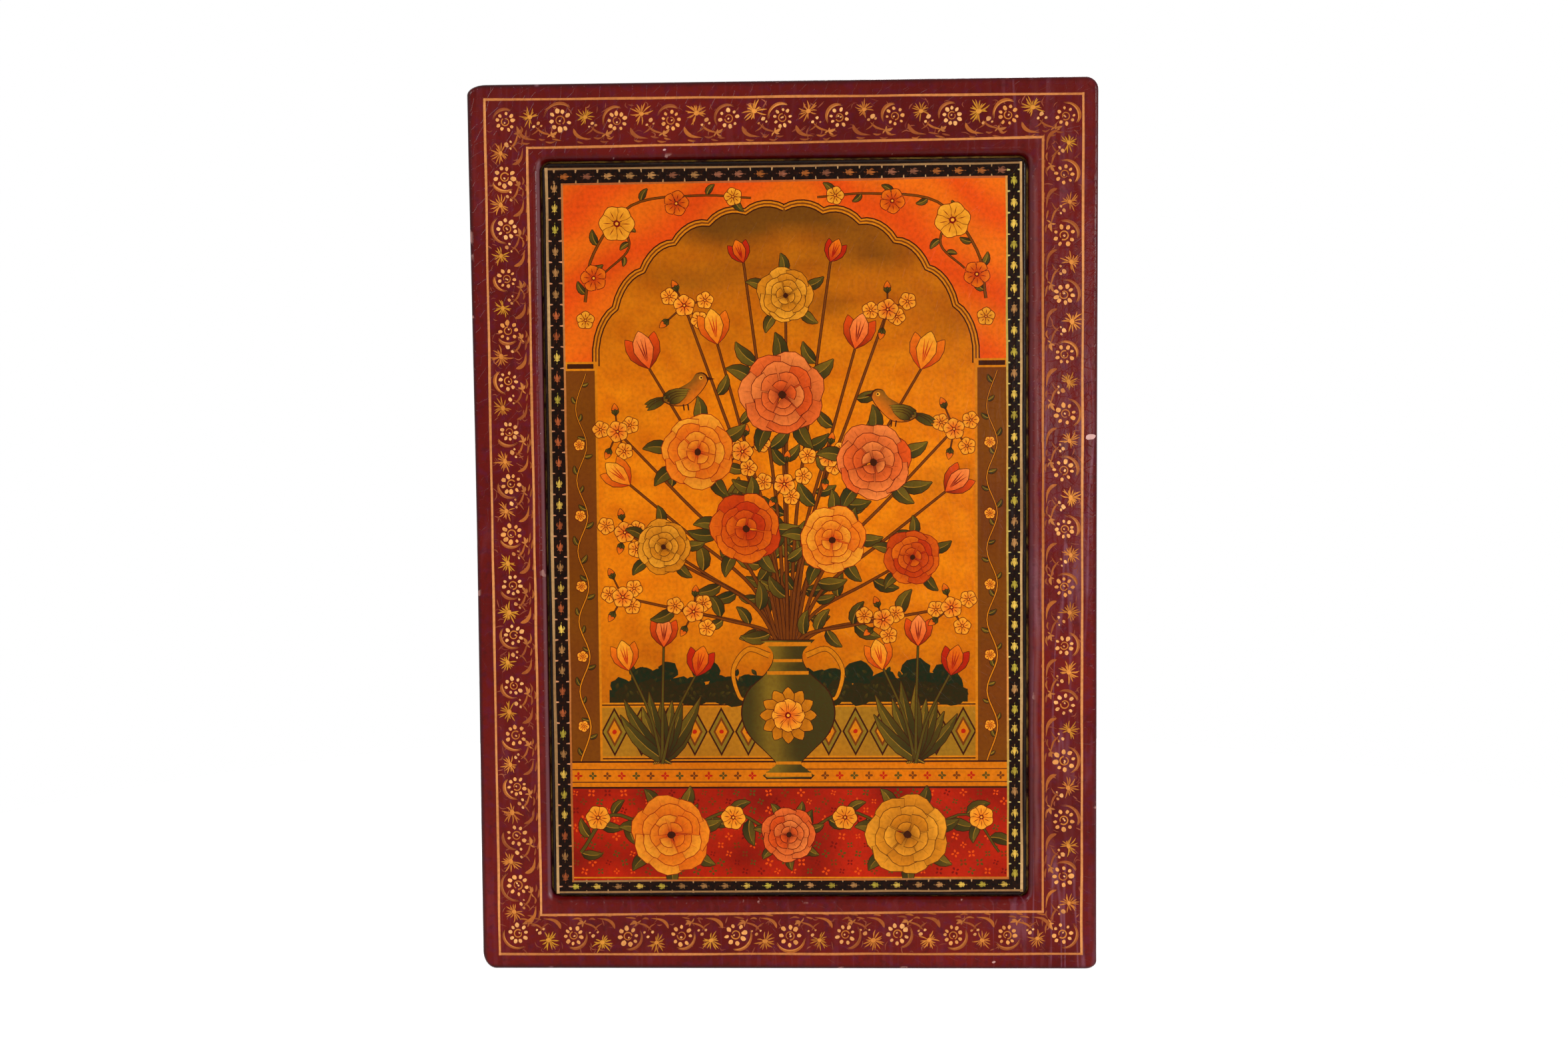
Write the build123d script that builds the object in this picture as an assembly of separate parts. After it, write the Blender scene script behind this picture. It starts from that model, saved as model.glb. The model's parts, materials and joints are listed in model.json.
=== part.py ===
from build123d import *
import os

# A lacquered papier-mache mirror case, standing upright on its bottom edge.
# X runs to the right, +Y to the back and +Z up. The front looks along -Y, and
# the origin is the middle of the bottom edge. All sizes are in millimetres.

# Closed case
CASE_WIDTH = 210.0
CASE_HEIGHT = 300.0
CASE_DEPTH = 18.0
CASE_EDGE_RADIUS = 1.5
SIDE_HOLLOW_LEFT = 0.5
SIDE_HOLLOW_RIGHT = 0.2

# Worn outer corners: run along the top or bottom edge, run along the side
CORNER_TOP_LEFT = (6.2, 3.5)
CORNER_TOP_RIGHT = (4.2, 4.2)
CORNER_BOTTOM_RIGHT = (4.0, 2.7)
CORNER_BOTTOM_LEFT = (4.6, 6.0)

# Recess for the cover, a little off centre as the hand-made original
RECESS_WIDTH = 163.0
RECESS_HEIGHT = 249.8
RECESS_CENTRE_X = 0.5
RECESS_CENTRE_Z = 149.6
RECESS_CORNER_RADIUS = 3.4
RECESS_EDGE_RADIUS = 2.6

# Layers of the case, from the front to the back
SKIN_THICKNESS = 3.0
RAIL_THICKNESS = 3.0
SLIP_THICKNESS = 2.4
GLASS_THICKNESS = 2.4
SILVERING_THICKNESS = 0.2
BACK_BOARD_THICKNESS = 4.0

# Pocket that holds the mirror, behind the rails
RAIL_LIP = 2.0
GLASS_MARGIN = 3.0
SLIP_WIDTH = 10.0
SLIP_BEVEL = 1.6

# Lift-out cover
COVER_CLEARANCE = 0.7
COVER_SET_BACK = 0.3
COVER_SEAT_GAP = 0.4
COVER_CORNER_RADIUS = 2.8
COVER_FACE_THICKNESS = 1.7
COVER_FACE_EDGE_RADIUS = 1.2
COVER_LINING_THICKNESS = 1.2
COVER_LINING_EDGE_RADIUS = 0.6

# Planes between the layers, as depths along Y
FRONT_Y = -CASE_DEPTH / 2
BACK_Y = CASE_DEPTH / 2
SKIN_BACK_Y = FRONT_Y + SKIN_THICKNESS
RAIL_BACK_Y = SKIN_BACK_Y + RAIL_THICKNESS
SLIP_BACK_Y = RAIL_BACK_Y + SLIP_THICKNESS
GLASS_BACK_Y = SLIP_BACK_Y + GLASS_THICKNESS
SILVERING_BACK_Y = GLASS_BACK_Y + SILVERING_THICKNESS
BOARD_FRONT_Y = BACK_Y - BACK_BOARD_THICKNESS
COVER_FRONT_Y = FRONT_Y + COVER_SET_BACK
COVER_BACK_Y = RAIL_BACK_Y - COVER_SEAT_GAP
COVER_CORE_FRONT_Y = COVER_FRONT_Y + COVER_FACE_THICKNESS
COVER_CORE_BACK_Y = COVER_BACK_Y - COVER_LINING_THICKNESS

RECESS_CENTRE = (RECESS_CENTRE_X, RECESS_CENTRE_Z)
POCKET_WIDTH = RECESS_WIDTH + 2 * RAIL_LIP
POCKET_HEIGHT = RECESS_HEIGHT + 2 * RAIL_LIP
GLASS_WIDTH = POCKET_WIDTH - 2 * GLASS_MARGIN
GLASS_HEIGHT = POCKET_HEIGHT - 2 * GLASS_MARGIN
SIGHT_WIDTH = POCKET_WIDTH - 2 * SLIP_WIDTH
SIGHT_HEIGHT = POCKET_HEIGHT - 2 * SLIP_WIDTH
COVER_WIDTH = RECESS_WIDTH - 2 * COVER_CLEARANCE
COVER_HEIGHT = RECESS_HEIGHT - 2 * COVER_CLEARANCE
OVERSIZE = 20.0
TOLERANCE = 0.001


def upright(outline, front_y, back_y):
    """Solid of a face drawn in X and Z, between two depths."""
    face = Plane.XZ.offset(-back_y) * outline
    return extrude(face, back_y - front_y)


def centred_sheet(width, height, front_y, back_y, radius=0.0):
    """Upright sheet about the recess's centre, with rounded corners if asked."""
    if radius > 0:
        outline = RectangleRounded(width, height, radius)
    else:
        outline = Rectangle(width, height)
    return upright(Pos(*RECESS_CENTRE) * outline, front_y, back_y)


def corner_arc(x, z, run, toward_x, toward_z, start_angle):
    """Quarter of an ellipse that rounds the corner at x, z towards the inside."""
    centre = (x + toward_x * run[0], z + toward_z * run[1])
    return EllipticalCenterArc(centre, run[0], run[1], start_angle, arc_size=90)


def hollow_side(x, bottom, top, hollow):
    """Nearly straight upright side that sinks in by hollow at its middle."""
    middle = (x + hollow, (bottom + top) / 2)
    return Spline((x, bottom), middle, (x, top), tangents=[(0, 1), (0, 1)])


def case_outline():
    """Face of the whole case seen from the front."""
    left = -CASE_WIDTH / 2
    right = CASE_WIDTH / 2
    edges = [
        Line((left + CORNER_BOTTOM_LEFT[0], 0), (right - CORNER_BOTTOM_RIGHT[0], 0)),
        corner_arc(right, 0, CORNER_BOTTOM_RIGHT, -1, 1, 270),
        hollow_side(right, CORNER_BOTTOM_RIGHT[1], CASE_HEIGHT - CORNER_TOP_RIGHT[1], -SIDE_HOLLOW_RIGHT),
        corner_arc(right, CASE_HEIGHT, CORNER_TOP_RIGHT, -1, -1, 0),
        Line((right - CORNER_TOP_RIGHT[0], CASE_HEIGHT), (left + CORNER_TOP_LEFT[0], CASE_HEIGHT)),
        corner_arc(left, CASE_HEIGHT, CORNER_TOP_LEFT, 1, -1, 90),
        hollow_side(left, CORNER_BOTTOM_LEFT[1], CASE_HEIGHT - CORNER_TOP_LEFT[1], SIDE_HOLLOW_LEFT),
        corner_arc(left, 0, CORNER_BOTTOM_LEFT, 1, 1, 180),
    ]
    return make_face(edges)


def edges_at(solid, y):
    """Edges of a solid that lie wholly in the plane at depth y."""
    boxes = [(edge, edge.bounding_box()) for edge in solid.edges()]
    return [edge for edge, box in boxes if max(abs(box.min.Y - y), abs(box.max.Y - y)) < TOLERANCE]


def edges_within(edges, width, height):
    """Those of the edges whose middle lies in or on a rectangle about the recess's centre."""
    reach_x = width / 2 + TOLERANCE
    reach_z = height / 2 + TOLERANCE
    return [e for e in edges if abs(e.center().X - RECESS_CENTRE_X) < reach_x
            and abs(e.center().Z - RECESS_CENTRE_Z) < reach_z]


def front_skin():
    """One seamless ring of gesso and lacquer, rounded outside and into the recess."""
    ring = upright(case_outline(), FRONT_Y, SKIN_BACK_Y)
    ring = fillet(edges_at(ring, FRONT_Y), CASE_EDGE_RADIUS)
    opening = centred_sheet(RECESS_WIDTH, RECESS_HEIGHT, FRONT_Y, SKIN_BACK_Y, RECESS_CORNER_RADIUS)
    rim = edges_within(edges_at(ring - opening, FRONT_Y), RECESS_WIDTH, RECESS_HEIGHT)
    return fillet(rim, RECESS_EDGE_RADIUS)


def back_board():
    """Full back of layered pasteboard with a rounded outer edge."""
    board = upright(case_outline(), BOARD_FRONT_Y, BACK_Y)
    return fillet(edges_at(board, BACK_Y), CASE_EDGE_RADIUS)


def side_blocks(width, height, front_y, back_y, uprights_run_through):
    """Blocks left, right, above and below a centred rectangle, which part a ring at butt joints."""
    span = CASE_HEIGHT + 2 * OVERSIZE
    depth = back_y - front_y
    centre = Pos(RECESS_CENTRE_X, (front_y + back_y) / 2, RECESS_CENTRE_Z)
    upright_block = Box(span, depth, 2 * span if uprights_run_through else height)
    level_block = Box(width if uprights_run_through else 2 * span, depth, span)
    return {
        "left": centre * Pos(-(width + span) / 2, 0, 0) * upright_block,
        "right": centre * Pos((width + span) / 2, 0, 0) * upright_block,
        "top": centre * Pos(0, 0, (height + span) / 2) * level_block,
        "bottom": centre * Pos(0, 0, -(height + span) / 2) * level_block,
    }


def walls():
    """Four pasteboard strips round the mirror's pocket, the upright ones running through."""
    slab = upright(case_outline(), RAIL_BACK_Y, BOARD_FRONT_Y)
    blocks = side_blocks(POCKET_WIDTH, POCKET_HEIGHT, RAIL_BACK_Y, BOARD_FRONT_Y, True)
    return {f"wall_{side}": slab & block for side, block in blocks.items()}


def rails():
    """Four pasteboard rails under the skin, the level ones running through."""
    slab = upright(case_outline(), SKIN_BACK_Y, RAIL_BACK_Y)
    slab -= centred_sheet(RECESS_WIDTH, RECESS_HEIGHT, SKIN_BACK_Y, RAIL_BACK_Y, RECESS_CORNER_RADIUS)
    joint_height = RECESS_HEIGHT - 2 * RECESS_CORNER_RADIUS
    blocks = side_blocks(RECESS_WIDTH, joint_height, SKIN_BACK_Y, RAIL_BACK_Y, False)
    return {f"frame_rail_{side}": slab & block for side, block in blocks.items()}


def mitre_blocks(outer_width, outer_height, inner_width, inner_height, front_y, back_y):
    """Four blocks that part a rectangular ring at its mitred corners."""
    ox = outer_width / 2
    oz = outer_height / 2
    ix = inner_width / 2
    iz = inner_height / 2
    outlines = {
        "left": [(-ox, -oz), (-ix, -iz), (-ix, iz), (-ox, oz)],
        "right": [(ox, -oz), (ox, oz), (ix, iz), (ix, -iz)],
        "top": [(-ox, oz), (-ix, iz), (ix, iz), (ox, oz)],
        "bottom": [(-ox, -oz), (ox, -oz), (ix, -iz), (-ix, -iz)],
    }
    blocks = {}
    for side, points in outlines.items():
        face = Pos(*RECESS_CENTRE) * make_face(Polyline(*points, close=True))
        blocks[side] = upright(face, front_y, back_y)
    return blocks


def mirror_slips():
    """Four bevelled slips that hold the glass and seat the cover."""
    ring = centred_sheet(POCKET_WIDTH, POCKET_HEIGHT, RAIL_BACK_Y, SLIP_BACK_Y)
    ring -= centred_sheet(SIGHT_WIDTH, SIGHT_HEIGHT, RAIL_BACK_Y, SLIP_BACK_Y)
    sight = edges_within(edges_at(ring, RAIL_BACK_Y), SIGHT_WIDTH, SIGHT_HEIGHT)
    ring = chamfer(sight, SLIP_BEVEL)
    blocks = mitre_blocks(POCKET_WIDTH, POCKET_HEIGHT, SIGHT_WIDTH, SIGHT_HEIGHT, RAIL_BACK_Y, SLIP_BACK_Y)
    return {f"mirror_slip_{side}": ring & block for side, block in blocks.items()}


def mirror_packing():
    """Four strips that centre the glass in its pocket."""
    slab = centred_sheet(POCKET_WIDTH, POCKET_HEIGHT, SLIP_BACK_Y, SILVERING_BACK_Y)
    blocks = side_blocks(GLASS_WIDTH, GLASS_HEIGHT, SLIP_BACK_Y, SILVERING_BACK_Y, True)
    return {f"mirror_packing_{side}": slab & block for side, block in blocks.items()}


def cover_face():
    """Painted front sheet of the cover with a rounded edge."""
    sheet = centred_sheet(COVER_WIDTH, COVER_HEIGHT, COVER_FRONT_Y, COVER_CORE_FRONT_Y, COVER_CORNER_RADIUS)
    return fillet(edges_at(sheet, COVER_FRONT_Y), COVER_FACE_EDGE_RADIUS)


def cover_lining():
    """Inner sheet of the cover, the side that faces the mirror."""
    sheet = centred_sheet(COVER_WIDTH, COVER_HEIGHT, COVER_CORE_BACK_Y, COVER_BACK_Y, COVER_CORNER_RADIUS)
    return fillet(edges_at(sheet, COVER_BACK_Y), COVER_LINING_EDGE_RADIUS)


nodes = {
    "front_skin": front_skin(),
    "back_board": back_board(),
    "mirror_glass": centred_sheet(GLASS_WIDTH, GLASS_HEIGHT, SLIP_BACK_Y, GLASS_BACK_Y),
    "mirror_silvering": centred_sheet(GLASS_WIDTH, GLASS_HEIGHT, GLASS_BACK_Y, SILVERING_BACK_Y),
    "mirror_backing_pad": centred_sheet(POCKET_WIDTH, POCKET_HEIGHT, SILVERING_BACK_Y, BOARD_FRONT_Y),
    "cover_face": cover_face(),
    "cover_core": centred_sheet(COVER_WIDTH, COVER_HEIGHT, COVER_CORE_FRONT_Y, COVER_CORE_BACK_Y,
                                COVER_CORNER_RADIUS),
    "cover_lining": cover_lining(),
}
nodes.update(walls())
nodes.update(rails())
nodes.update(mirror_slips())
nodes.update(mirror_packing())

os.makedirs("parts", exist_ok=True)
for name, shape in nodes.items():
    export_step(shape, f"parts/{name}.step")
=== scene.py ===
import json
import math
import random

import bpy
import numpy as np
from mathutils import Matrix, Vector, noise
from mathutils.geometry import delaunay_2d_cdt


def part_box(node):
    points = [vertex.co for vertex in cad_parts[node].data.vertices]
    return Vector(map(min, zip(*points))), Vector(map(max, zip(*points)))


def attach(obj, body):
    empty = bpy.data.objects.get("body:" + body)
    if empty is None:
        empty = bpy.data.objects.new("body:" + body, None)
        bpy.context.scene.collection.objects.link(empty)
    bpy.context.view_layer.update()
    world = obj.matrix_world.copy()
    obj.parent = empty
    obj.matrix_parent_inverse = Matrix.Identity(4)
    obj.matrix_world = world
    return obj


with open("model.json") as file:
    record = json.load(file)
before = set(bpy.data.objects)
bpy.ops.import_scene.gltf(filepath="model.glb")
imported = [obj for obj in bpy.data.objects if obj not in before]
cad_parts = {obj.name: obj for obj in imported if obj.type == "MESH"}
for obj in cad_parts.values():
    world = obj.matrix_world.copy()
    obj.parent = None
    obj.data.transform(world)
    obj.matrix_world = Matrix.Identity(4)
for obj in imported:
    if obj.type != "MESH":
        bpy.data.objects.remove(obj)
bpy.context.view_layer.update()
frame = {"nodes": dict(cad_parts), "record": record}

# Paint is drawn in millimetres on flat sheets: x to the right and z up on the front.
MM = 0.001
TAU = math.tau
PAINT_LIFT = 0.05

# Depths of the painted faces, from the frame
FRONT_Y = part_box("front_skin")[0][1] / MM
BACK_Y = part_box("back_board")[1][1] / MM
COVER_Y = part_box("cover_face")[0][1] / MM
LINING_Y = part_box("cover_lining")[1][1] / MM

# Corners of the hand-ruled gold frames, from the top left clockwise
OUTER_RULE = ((-98.9, 294.9), (99.8, 294.2), (99.7, 5.5), (-99.0, 5.2))
INNER_RULE = ((-84.9, 278.8), (86.6, 280.1), (86.6, 20.1), (-84.5, 18.9))
PANEL_OUTER_RULE = ((-78.7, 271.7), (79.4, 271.9), (79.5, 27.3), (-78.6, 26.7))
PANEL_INNER_RULE = ((-73.5, 266.6), (74.6, 267.4), (74.9, 31.5), (-73.4, 30.5))
RULE_WIDTH = 0.78

# Repeats of the scroll on the top, right, bottom and left, and place and size of the clear chips
BORDER_REPEATS = (10, 14, 10, 16)
CHIPS = ((102.4, 181.0, 1.35), (70.0, 2.6, 0.5), (-39.0, 277.6, 0.45))

# Size of the case from its middle, in metres
HALF_WIDTH = 0.105
HALF_HEIGHT = 0.15

# The camera stands a little above and to the right of the case's middle.
CAMERA_LENS = 40.0
CAMERA_AZIMUTH = math.radians(1.732)
CAMERA_ELEVATION = math.radians(3.42)
CAMERA_ROLL = math.radians(-0.481)
CAMERA_DISTANCE = 0.5954
CAMERA_TARGET = Vector((-0.00046, 0.0, 0.152651))

# Name, place, width and watts of each lamp: a large key from the upper left in front, a weaker
# fill from the right, a small sheen and a light on the back
LAMPS = (
    ("key", (-1.2, -1.5, 1.1), 0.7, 22.0),
    ("fill", (1.4, -1.2, 0.6), 0.5, 18.0),
    ("sheen", (0.42, -1.35, 0.2), 0.3, 2.2),
    ("back", (0.6, 1.6, 1.2), 1.2, 30.0),
)
LAMP_TARGET = (0, 0, HALF_HEIGHT)
WORLD_LIGHT = 0.28
FLOOR_RADIUS = 0.45

# Width of the cover's rounded edge that the painted sheet leaves bare
COVER_EDGE = 0.9

# How far the silvering reaches into the glass, in metres
SILVER_PRESS = 0.00003


def srgb(red, green, blue):
    """Linear colour of an 8-bit screen colour."""
    linear = []
    for value in (red, green, blue):
        value /= 255
        linear.append(value / 12.92 if value <= 0.04045 else ((value + 0.055) / 1.055) ** 2.4)
    return tuple(linear)


def mix(first, second, share):
    """Colour between two others."""
    return tuple(a + (b - a) * share for a, b in zip(first, second))


# Pigments
GOLD_RULE = srgb(216, 138, 66)
GOLD_ORANGE = srgb(232, 150, 58)
GOLD_ROSE = srgb(234, 150, 88)
GOLD_BRIGHT = srgb(236, 154, 72)
GOLD_PALE = srgb(250, 184, 112)
GOLD_YELLOW = srgb(216, 156, 40)
GOLD_DULL = srgb(176, 98, 42)
GOLD_FAINT = srgb(134, 62, 36)
GOLD_RUBBED = srgb(158, 84, 56)
MAROON_RUB = srgb(112, 38, 32)
CHIP_PINK = srgb(214, 168, 160)
BLACK_GROUND = srgb(20, 9, 5)
BLACK_SOFT = srgb(38, 24, 11)
RULE_LIGHT = srgb(218, 146, 84)
RULE_WARM = srgb(202, 127, 68)
RULE_BROWN = srgb(184, 110, 52)
RULE_PALE = srgb(206, 166, 110)
RULE_TAN = srgb(150, 112, 70)
RULE_OLIVE = srgb(176, 160, 70)
TICK_PALE = srgb(206, 186, 110)
TICK_TAN = srgb(190, 146, 96)
TICK_ROSE = srgb(212, 146, 102)
FLORET_YELLOW = srgb(238, 196, 84)
FLORET_OLIVE = srgb(190, 168, 60)
FLORET_TAN = srgb(186, 134, 78)
FLORET_PINK = srgb(150, 92, 66)
FLORET_RUST = srgb(178, 90, 48)
AMBER = srgb(216, 108, 4)
AMBER_LIGHT = srgb(234, 130, 8)
AMBER_BROWN = srgb(118, 62, 6)
SMOKE = srgb(80, 56, 12)
ORANGE_RED = srgb(224, 74, 12)
ORANGE = srgb(232, 112, 14)
PEACH = srgb(242, 134, 60)
RED = srgb(184, 34, 8)
RED_DEEP = srgb(118, 16, 6)
OUTLINE_BROWN = srgb(58, 22, 4)
GREEN = srgb(84, 70, 18)
GREEN_LIGHT = srgb(134, 104, 26)
GREEN_DARK = srgb(40, 34, 10)
TEAL_DARK = srgb(26, 36, 16)
BROWN = srgb(112, 54, 10)
TAN = srgb(208, 120, 14)
CREAM = srgb(242, 160, 40)


def held(value):
    """Value held between 0 and 1."""
    return min(max(value, 0.0), 1.0)


def polar(x, z, radius, angle):
    """Point at a radius and angle about x, z."""
    return (x + radius * math.cos(angle), z + radius * math.sin(angle))


def linear_shade(first, second, start, end):
    """Colour that runs from first at start to second at end."""
    dx = end[0] - start[0]
    dz = end[1] - start[1]
    length = dx * dx + dz * dz

    def shade(x, z):
        share = ((x - start[0]) * dx + (z - start[1]) * dz) / length
        return mix(first, second, held(share))

    return shade


def curve_through(points, steps=6):
    """Smooth open curve through points."""
    points = [Vector(p) for p in points]
    if len(points) == 2:
        return [points[0].lerp(points[1], k / steps) for k in range(steps + 1)]
    padded = [2 * points[0] - points[1]] + points + [2 * points[-1] - points[-2]]
    curve = []
    for a, b, c, d in zip(padded, padded[1:], padded[2:], padded[3:]):
        for k in range(steps):
            t = k / steps
            curve.append(0.5 * (2 * b + (c - a) * t + (2 * a - 5 * b + 4 * c - d) * t * t
                                + (3 * b - a - 3 * c + d) * t ** 3))
    curve.append(points[-1])
    return curve


def side_offset(curve, index):
    """Unit vector square to a curve at one of its points."""
    ahead = curve[min(index + 1, len(curve) - 1)]
    behind = curve[max(index - 1, 0)]
    along = (ahead - behind).normalized()
    return Vector((-along.y, along.x))


THINNEST_STROKE = 0.06


def ribbon(curve, width_at):
    """Outline of a brush stroke along a curve, where width_at gives its width from 0 to 1."""
    left = []
    right = []
    last = len(curve) - 1
    for index, point in enumerate(curve):
        half = side_offset(curve, index) * max(width_at(index / last), THINNEST_STROKE) / 2
        left.append(point + half)
        right.append(point - half)
    return right + left[::-1]


def swell(width, peak=0.45, power=0.8):
    """Width of a stroke that starts and ends fine and is fullest at peak."""
    bend = math.log(0.5) / math.log(peak)
    return lambda t: width * math.sin(math.pi * t ** bend) ** power if 0 < t < 1 else 0.0


def taper(width, end=0.15):
    """Width of a stroke that starts full and runs out."""
    return lambda t: width * (1 - (1 - end) * t)


def turns_round(ring, places):
    """How many times a closed outline turns round each of some places."""
    x, z = places[:, :1], places[:, 1:]
    start = ring
    end = np.roll(ring, -1, axis=0)
    run_x, run_z = (end - start).T
    side = run_x * (z - start[:, 1]) - (x - start[:, 0]) * run_z
    rising = (start[:, 1] <= z) & (end[:, 1] > z) & (side > 0)
    falling = (start[:, 1] > z) & (end[:, 1] <= z) & (side < 0)
    return rising.sum(axis=1) - falling.sum(axis=1)


def topmost_shapes(outlines, points, triangles):
    """Index of the last outline that covers each triangle, or -1 where none does."""
    centres = points[triangles].mean(axis=1)
    order = np.argsort(centres[:, 0])
    centres = centres[order]
    found = np.full(len(triangles), -1)
    for index, ring in enumerate(outlines):
        low = ring.min(axis=0)
        high = ring.max(axis=0)
        first, last = np.searchsorted(centres[:, 0], (low[0], high[0]))
        level = centres[first:last, 1]
        near = first + np.flatnonzero((level > low[1]) & (level < high[1]))
        found[order[near[turns_round(ring, centres[near]) != 0]]] = index
    return found


def triangulate(points, edges):
    """Flat triangles over points, with edges kept, as arrays of points and corners."""
    nearest = 1e-4
    points, _, triangles, *_ = delaunay_2d_cdt(points, edges, [], 0, nearest, False)
    return np.array([tuple(p) for p in points]), np.array(triangles)


def visible_edges(triangles, shapes):
    """Edges between triangles that different shapes cover."""
    sides = np.concatenate((triangles[:, :2], triangles[:, 1:], triangles[:, ::2]))
    sides.sort(axis=1)
    owners = np.tile(shapes, 3)
    order = np.lexsort((sides[:, 1], sides[:, 0]))
    sides = sides[order]
    owners = owners[order]
    paired = (sides[1:] == sides[:-1]).all(axis=1)
    differ = paired & (owners[1:] != owners[:-1])
    single = ~(np.append(paired, False) | np.append(False, paired)) & (owners >= 0)
    return sides[np.append(differ, False) | single]


class Painting:
    """A flat sheet of paint: shapes laid one over another, then cut into one layer of triangles."""

    def __init__(self):
        self.outlines = []
        self.colours = []
        self.loose = []

    def shape(self, outline, colour):
        """Closed outline filled with a colour, or with a shade of x and z."""
        self.outlines.append([Vector(p) for p in outline])
        self.colours.append(colour)

    def stitch(self, points):
        """Loose points that let a soft shade change inside a large shape."""
        self.loose.extend(Vector(p) for p in points)

    def stroke(self, points, width_at, colour, steps=6):
        """Brush stroke through points."""
        self.shape(ribbon(curve_through(points, steps), width_at), colour)

    def spot(self, x, z, radius_x, radius_z, colour, turn=0.0, sides=10, rng=None):
        """Oval dab of the brush, a little uneven where a random source is given."""
        outline = []
        for k in range(sides):
            angle = TAU * k / sides
            wobble = rng.uniform(0.88, 1.12) if rng else 1.0
            across = radius_x * wobble * math.cos(angle)
            up = radius_z * wobble * math.sin(angle)
            outline.append((x + across * math.cos(turn) - up * math.sin(turn),
                            z + across * math.sin(turn) + up * math.cos(turn)))
        self.shape(outline, colour)

    def bar(self, left, right, bottom, top, colour):
        """Upright rectangle."""
        self.shape([(left, bottom), (right, bottom), (right, top), (left, top)], colour)

    def cut(self):
        """Points, triangles and topmost shape of each triangle, with all that is hidden left out."""
        points = list(self.loose)
        edges = []
        for outline in self.outlines:
            start = len(points)
            count = len(outline)
            points.extend(outline)
            edges.extend((start + k, start + (k + 1) % count) for k in range(count))
        outlines = [np.array([tuple(p) for p in outline]) for outline in self.outlines]
        placed, triangles = triangulate(points, edges)
        borders = visible_edges(triangles, topmost_shapes(outlines, placed, triangles))
        kept, numbers = np.unique(borders, return_inverse=True)
        points = [Vector(p) for p in placed[kept]] + self.loose
        placed, triangles = triangulate(points, numbers.reshape(borders.shape).tolist())
        shapes = topmost_shapes(outlines, placed, triangles)
        painted = shapes >= 0
        return placed, triangles[painted], shapes[painted]

    def build(self, name, depth, faces_front=True):
        """Mesh of the painting at a depth in millimetres, drawn as seen from the side it faces."""
        points, triangles, shapes = self.cut()
        side = 1 if faces_front else -1
        mesh = bpy.data.meshes.new(name)
        mesh.from_pydata([(side * x * MM, depth * MM, z * MM) for x, z in points], [], triangles.tolist())
        colours = []
        for corners, shape in zip(triangles.tolist(), shapes):
            colour = self.colours[shape]
            for corner in corners:
                value = colour(*points[corner]) if callable(colour) else colour
                colours.extend((*value, 1.0))
        mesh.color_attributes.new("Paint", "FLOAT_COLOR", "CORNER").data.foreach_set("color", colours)
        low = points.min(axis=0)
        span = points.max(axis=0) - low
        margin = 0.01
        chart = margin + 0.98 * (points[triangles].reshape(-1, 2) - low) / span
        mesh.uv_layers.new(name="OFBake").data.foreach_set("uv", chart.ravel())
        return add_object(name, mesh)


def add_object(name, data):
    """New object in the scene."""
    added = bpy.data.objects.new(name, data)
    bpy.context.scene.collection.objects.link(added)
    return added


def drifting(first, second, seed):
    """Colour that drifts between two others along a long line."""

    def shade(x, z):
        share = 0.5 + 1.1 * noise.noise(Vector((x, z, seed)) * 0.03)
        return mix(first, second, held(share))

    return shade


def ruled_line(paint, start, end, width, colour, rng, piece_length=14.0):
    """Ruled line by a steady hand, a little uneven in width and place."""
    start = Vector(start)
    end = Vector(end)
    along = (end - start).normalized()
    across = Vector((-along.y, along.x))
    start -= along * width / 2
    end += along * width / 2
    count = max(2, round((end - start).length / piece_length))
    points = [start.lerp(end, k / count) + across * rng.uniform(-0.09, 0.09) for k in range(count + 1)]
    phase = rng.uniform(0, TAU)
    paint.stroke(points, lambda t: width * (1 + 0.10 * math.sin(phase + 23 * t)), colour, steps=3)


def ruled_frame(paint, corners, width, colours, rng):
    """Closed frame of four ruled lines, from the top clockwise."""
    for k in range(4):
        ruled_line(paint, corners[k], corners[(k + 1) % 4], width, colours[k], rng)


class Band:
    """One side of a border, drawn in its own coordinates: s along it from its start and t outwards."""

    def __init__(self, paint, start, end):
        self.paint = paint
        self.start = Vector(start)
        self.length = (Vector(end) - self.start).length
        self.along = (Vector(end) - self.start) / self.length
        self.outward = Vector((-self.along.y, self.along.x))
        self.heading = math.atan2(self.along.y, self.along.x)

    def repeats(self, count):
        """Start and middle of equal repeats along the band, with the length of one."""
        unit = self.length / count
        return [(k * unit, (k + 0.5) * unit, unit) for k in range(count)]

    def place(self, s, t):
        """Point on the sheet."""
        return self.start + self.along * s + self.outward * t

    def stroke(self, points, width_at, colour, steps=5):
        """Brush stroke in the band's coordinates."""
        self.paint.stroke([self.place(*p) for p in points], width_at, colour, steps)

    def spot(self, s, t, radius_s, radius_t, colour, rng, turn=0.0):
        """Oval dab in the band's coordinates."""
        point = self.place(s, t)
        self.paint.spot(point.x, point.y, radius_s, radius_t, colour, self.heading + turn, 9, rng)


def band_sides(paint, outer, inner):
    """The four sides of the band midway between two ruled frames, clockwise from the top."""
    middle = [(Vector(a) + Vector(b)) / 2 for a, b in zip(outer, inner)]
    return [Band(paint, middle[k], middle[(k + 1) % 4]) for k in range(4)]


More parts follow.
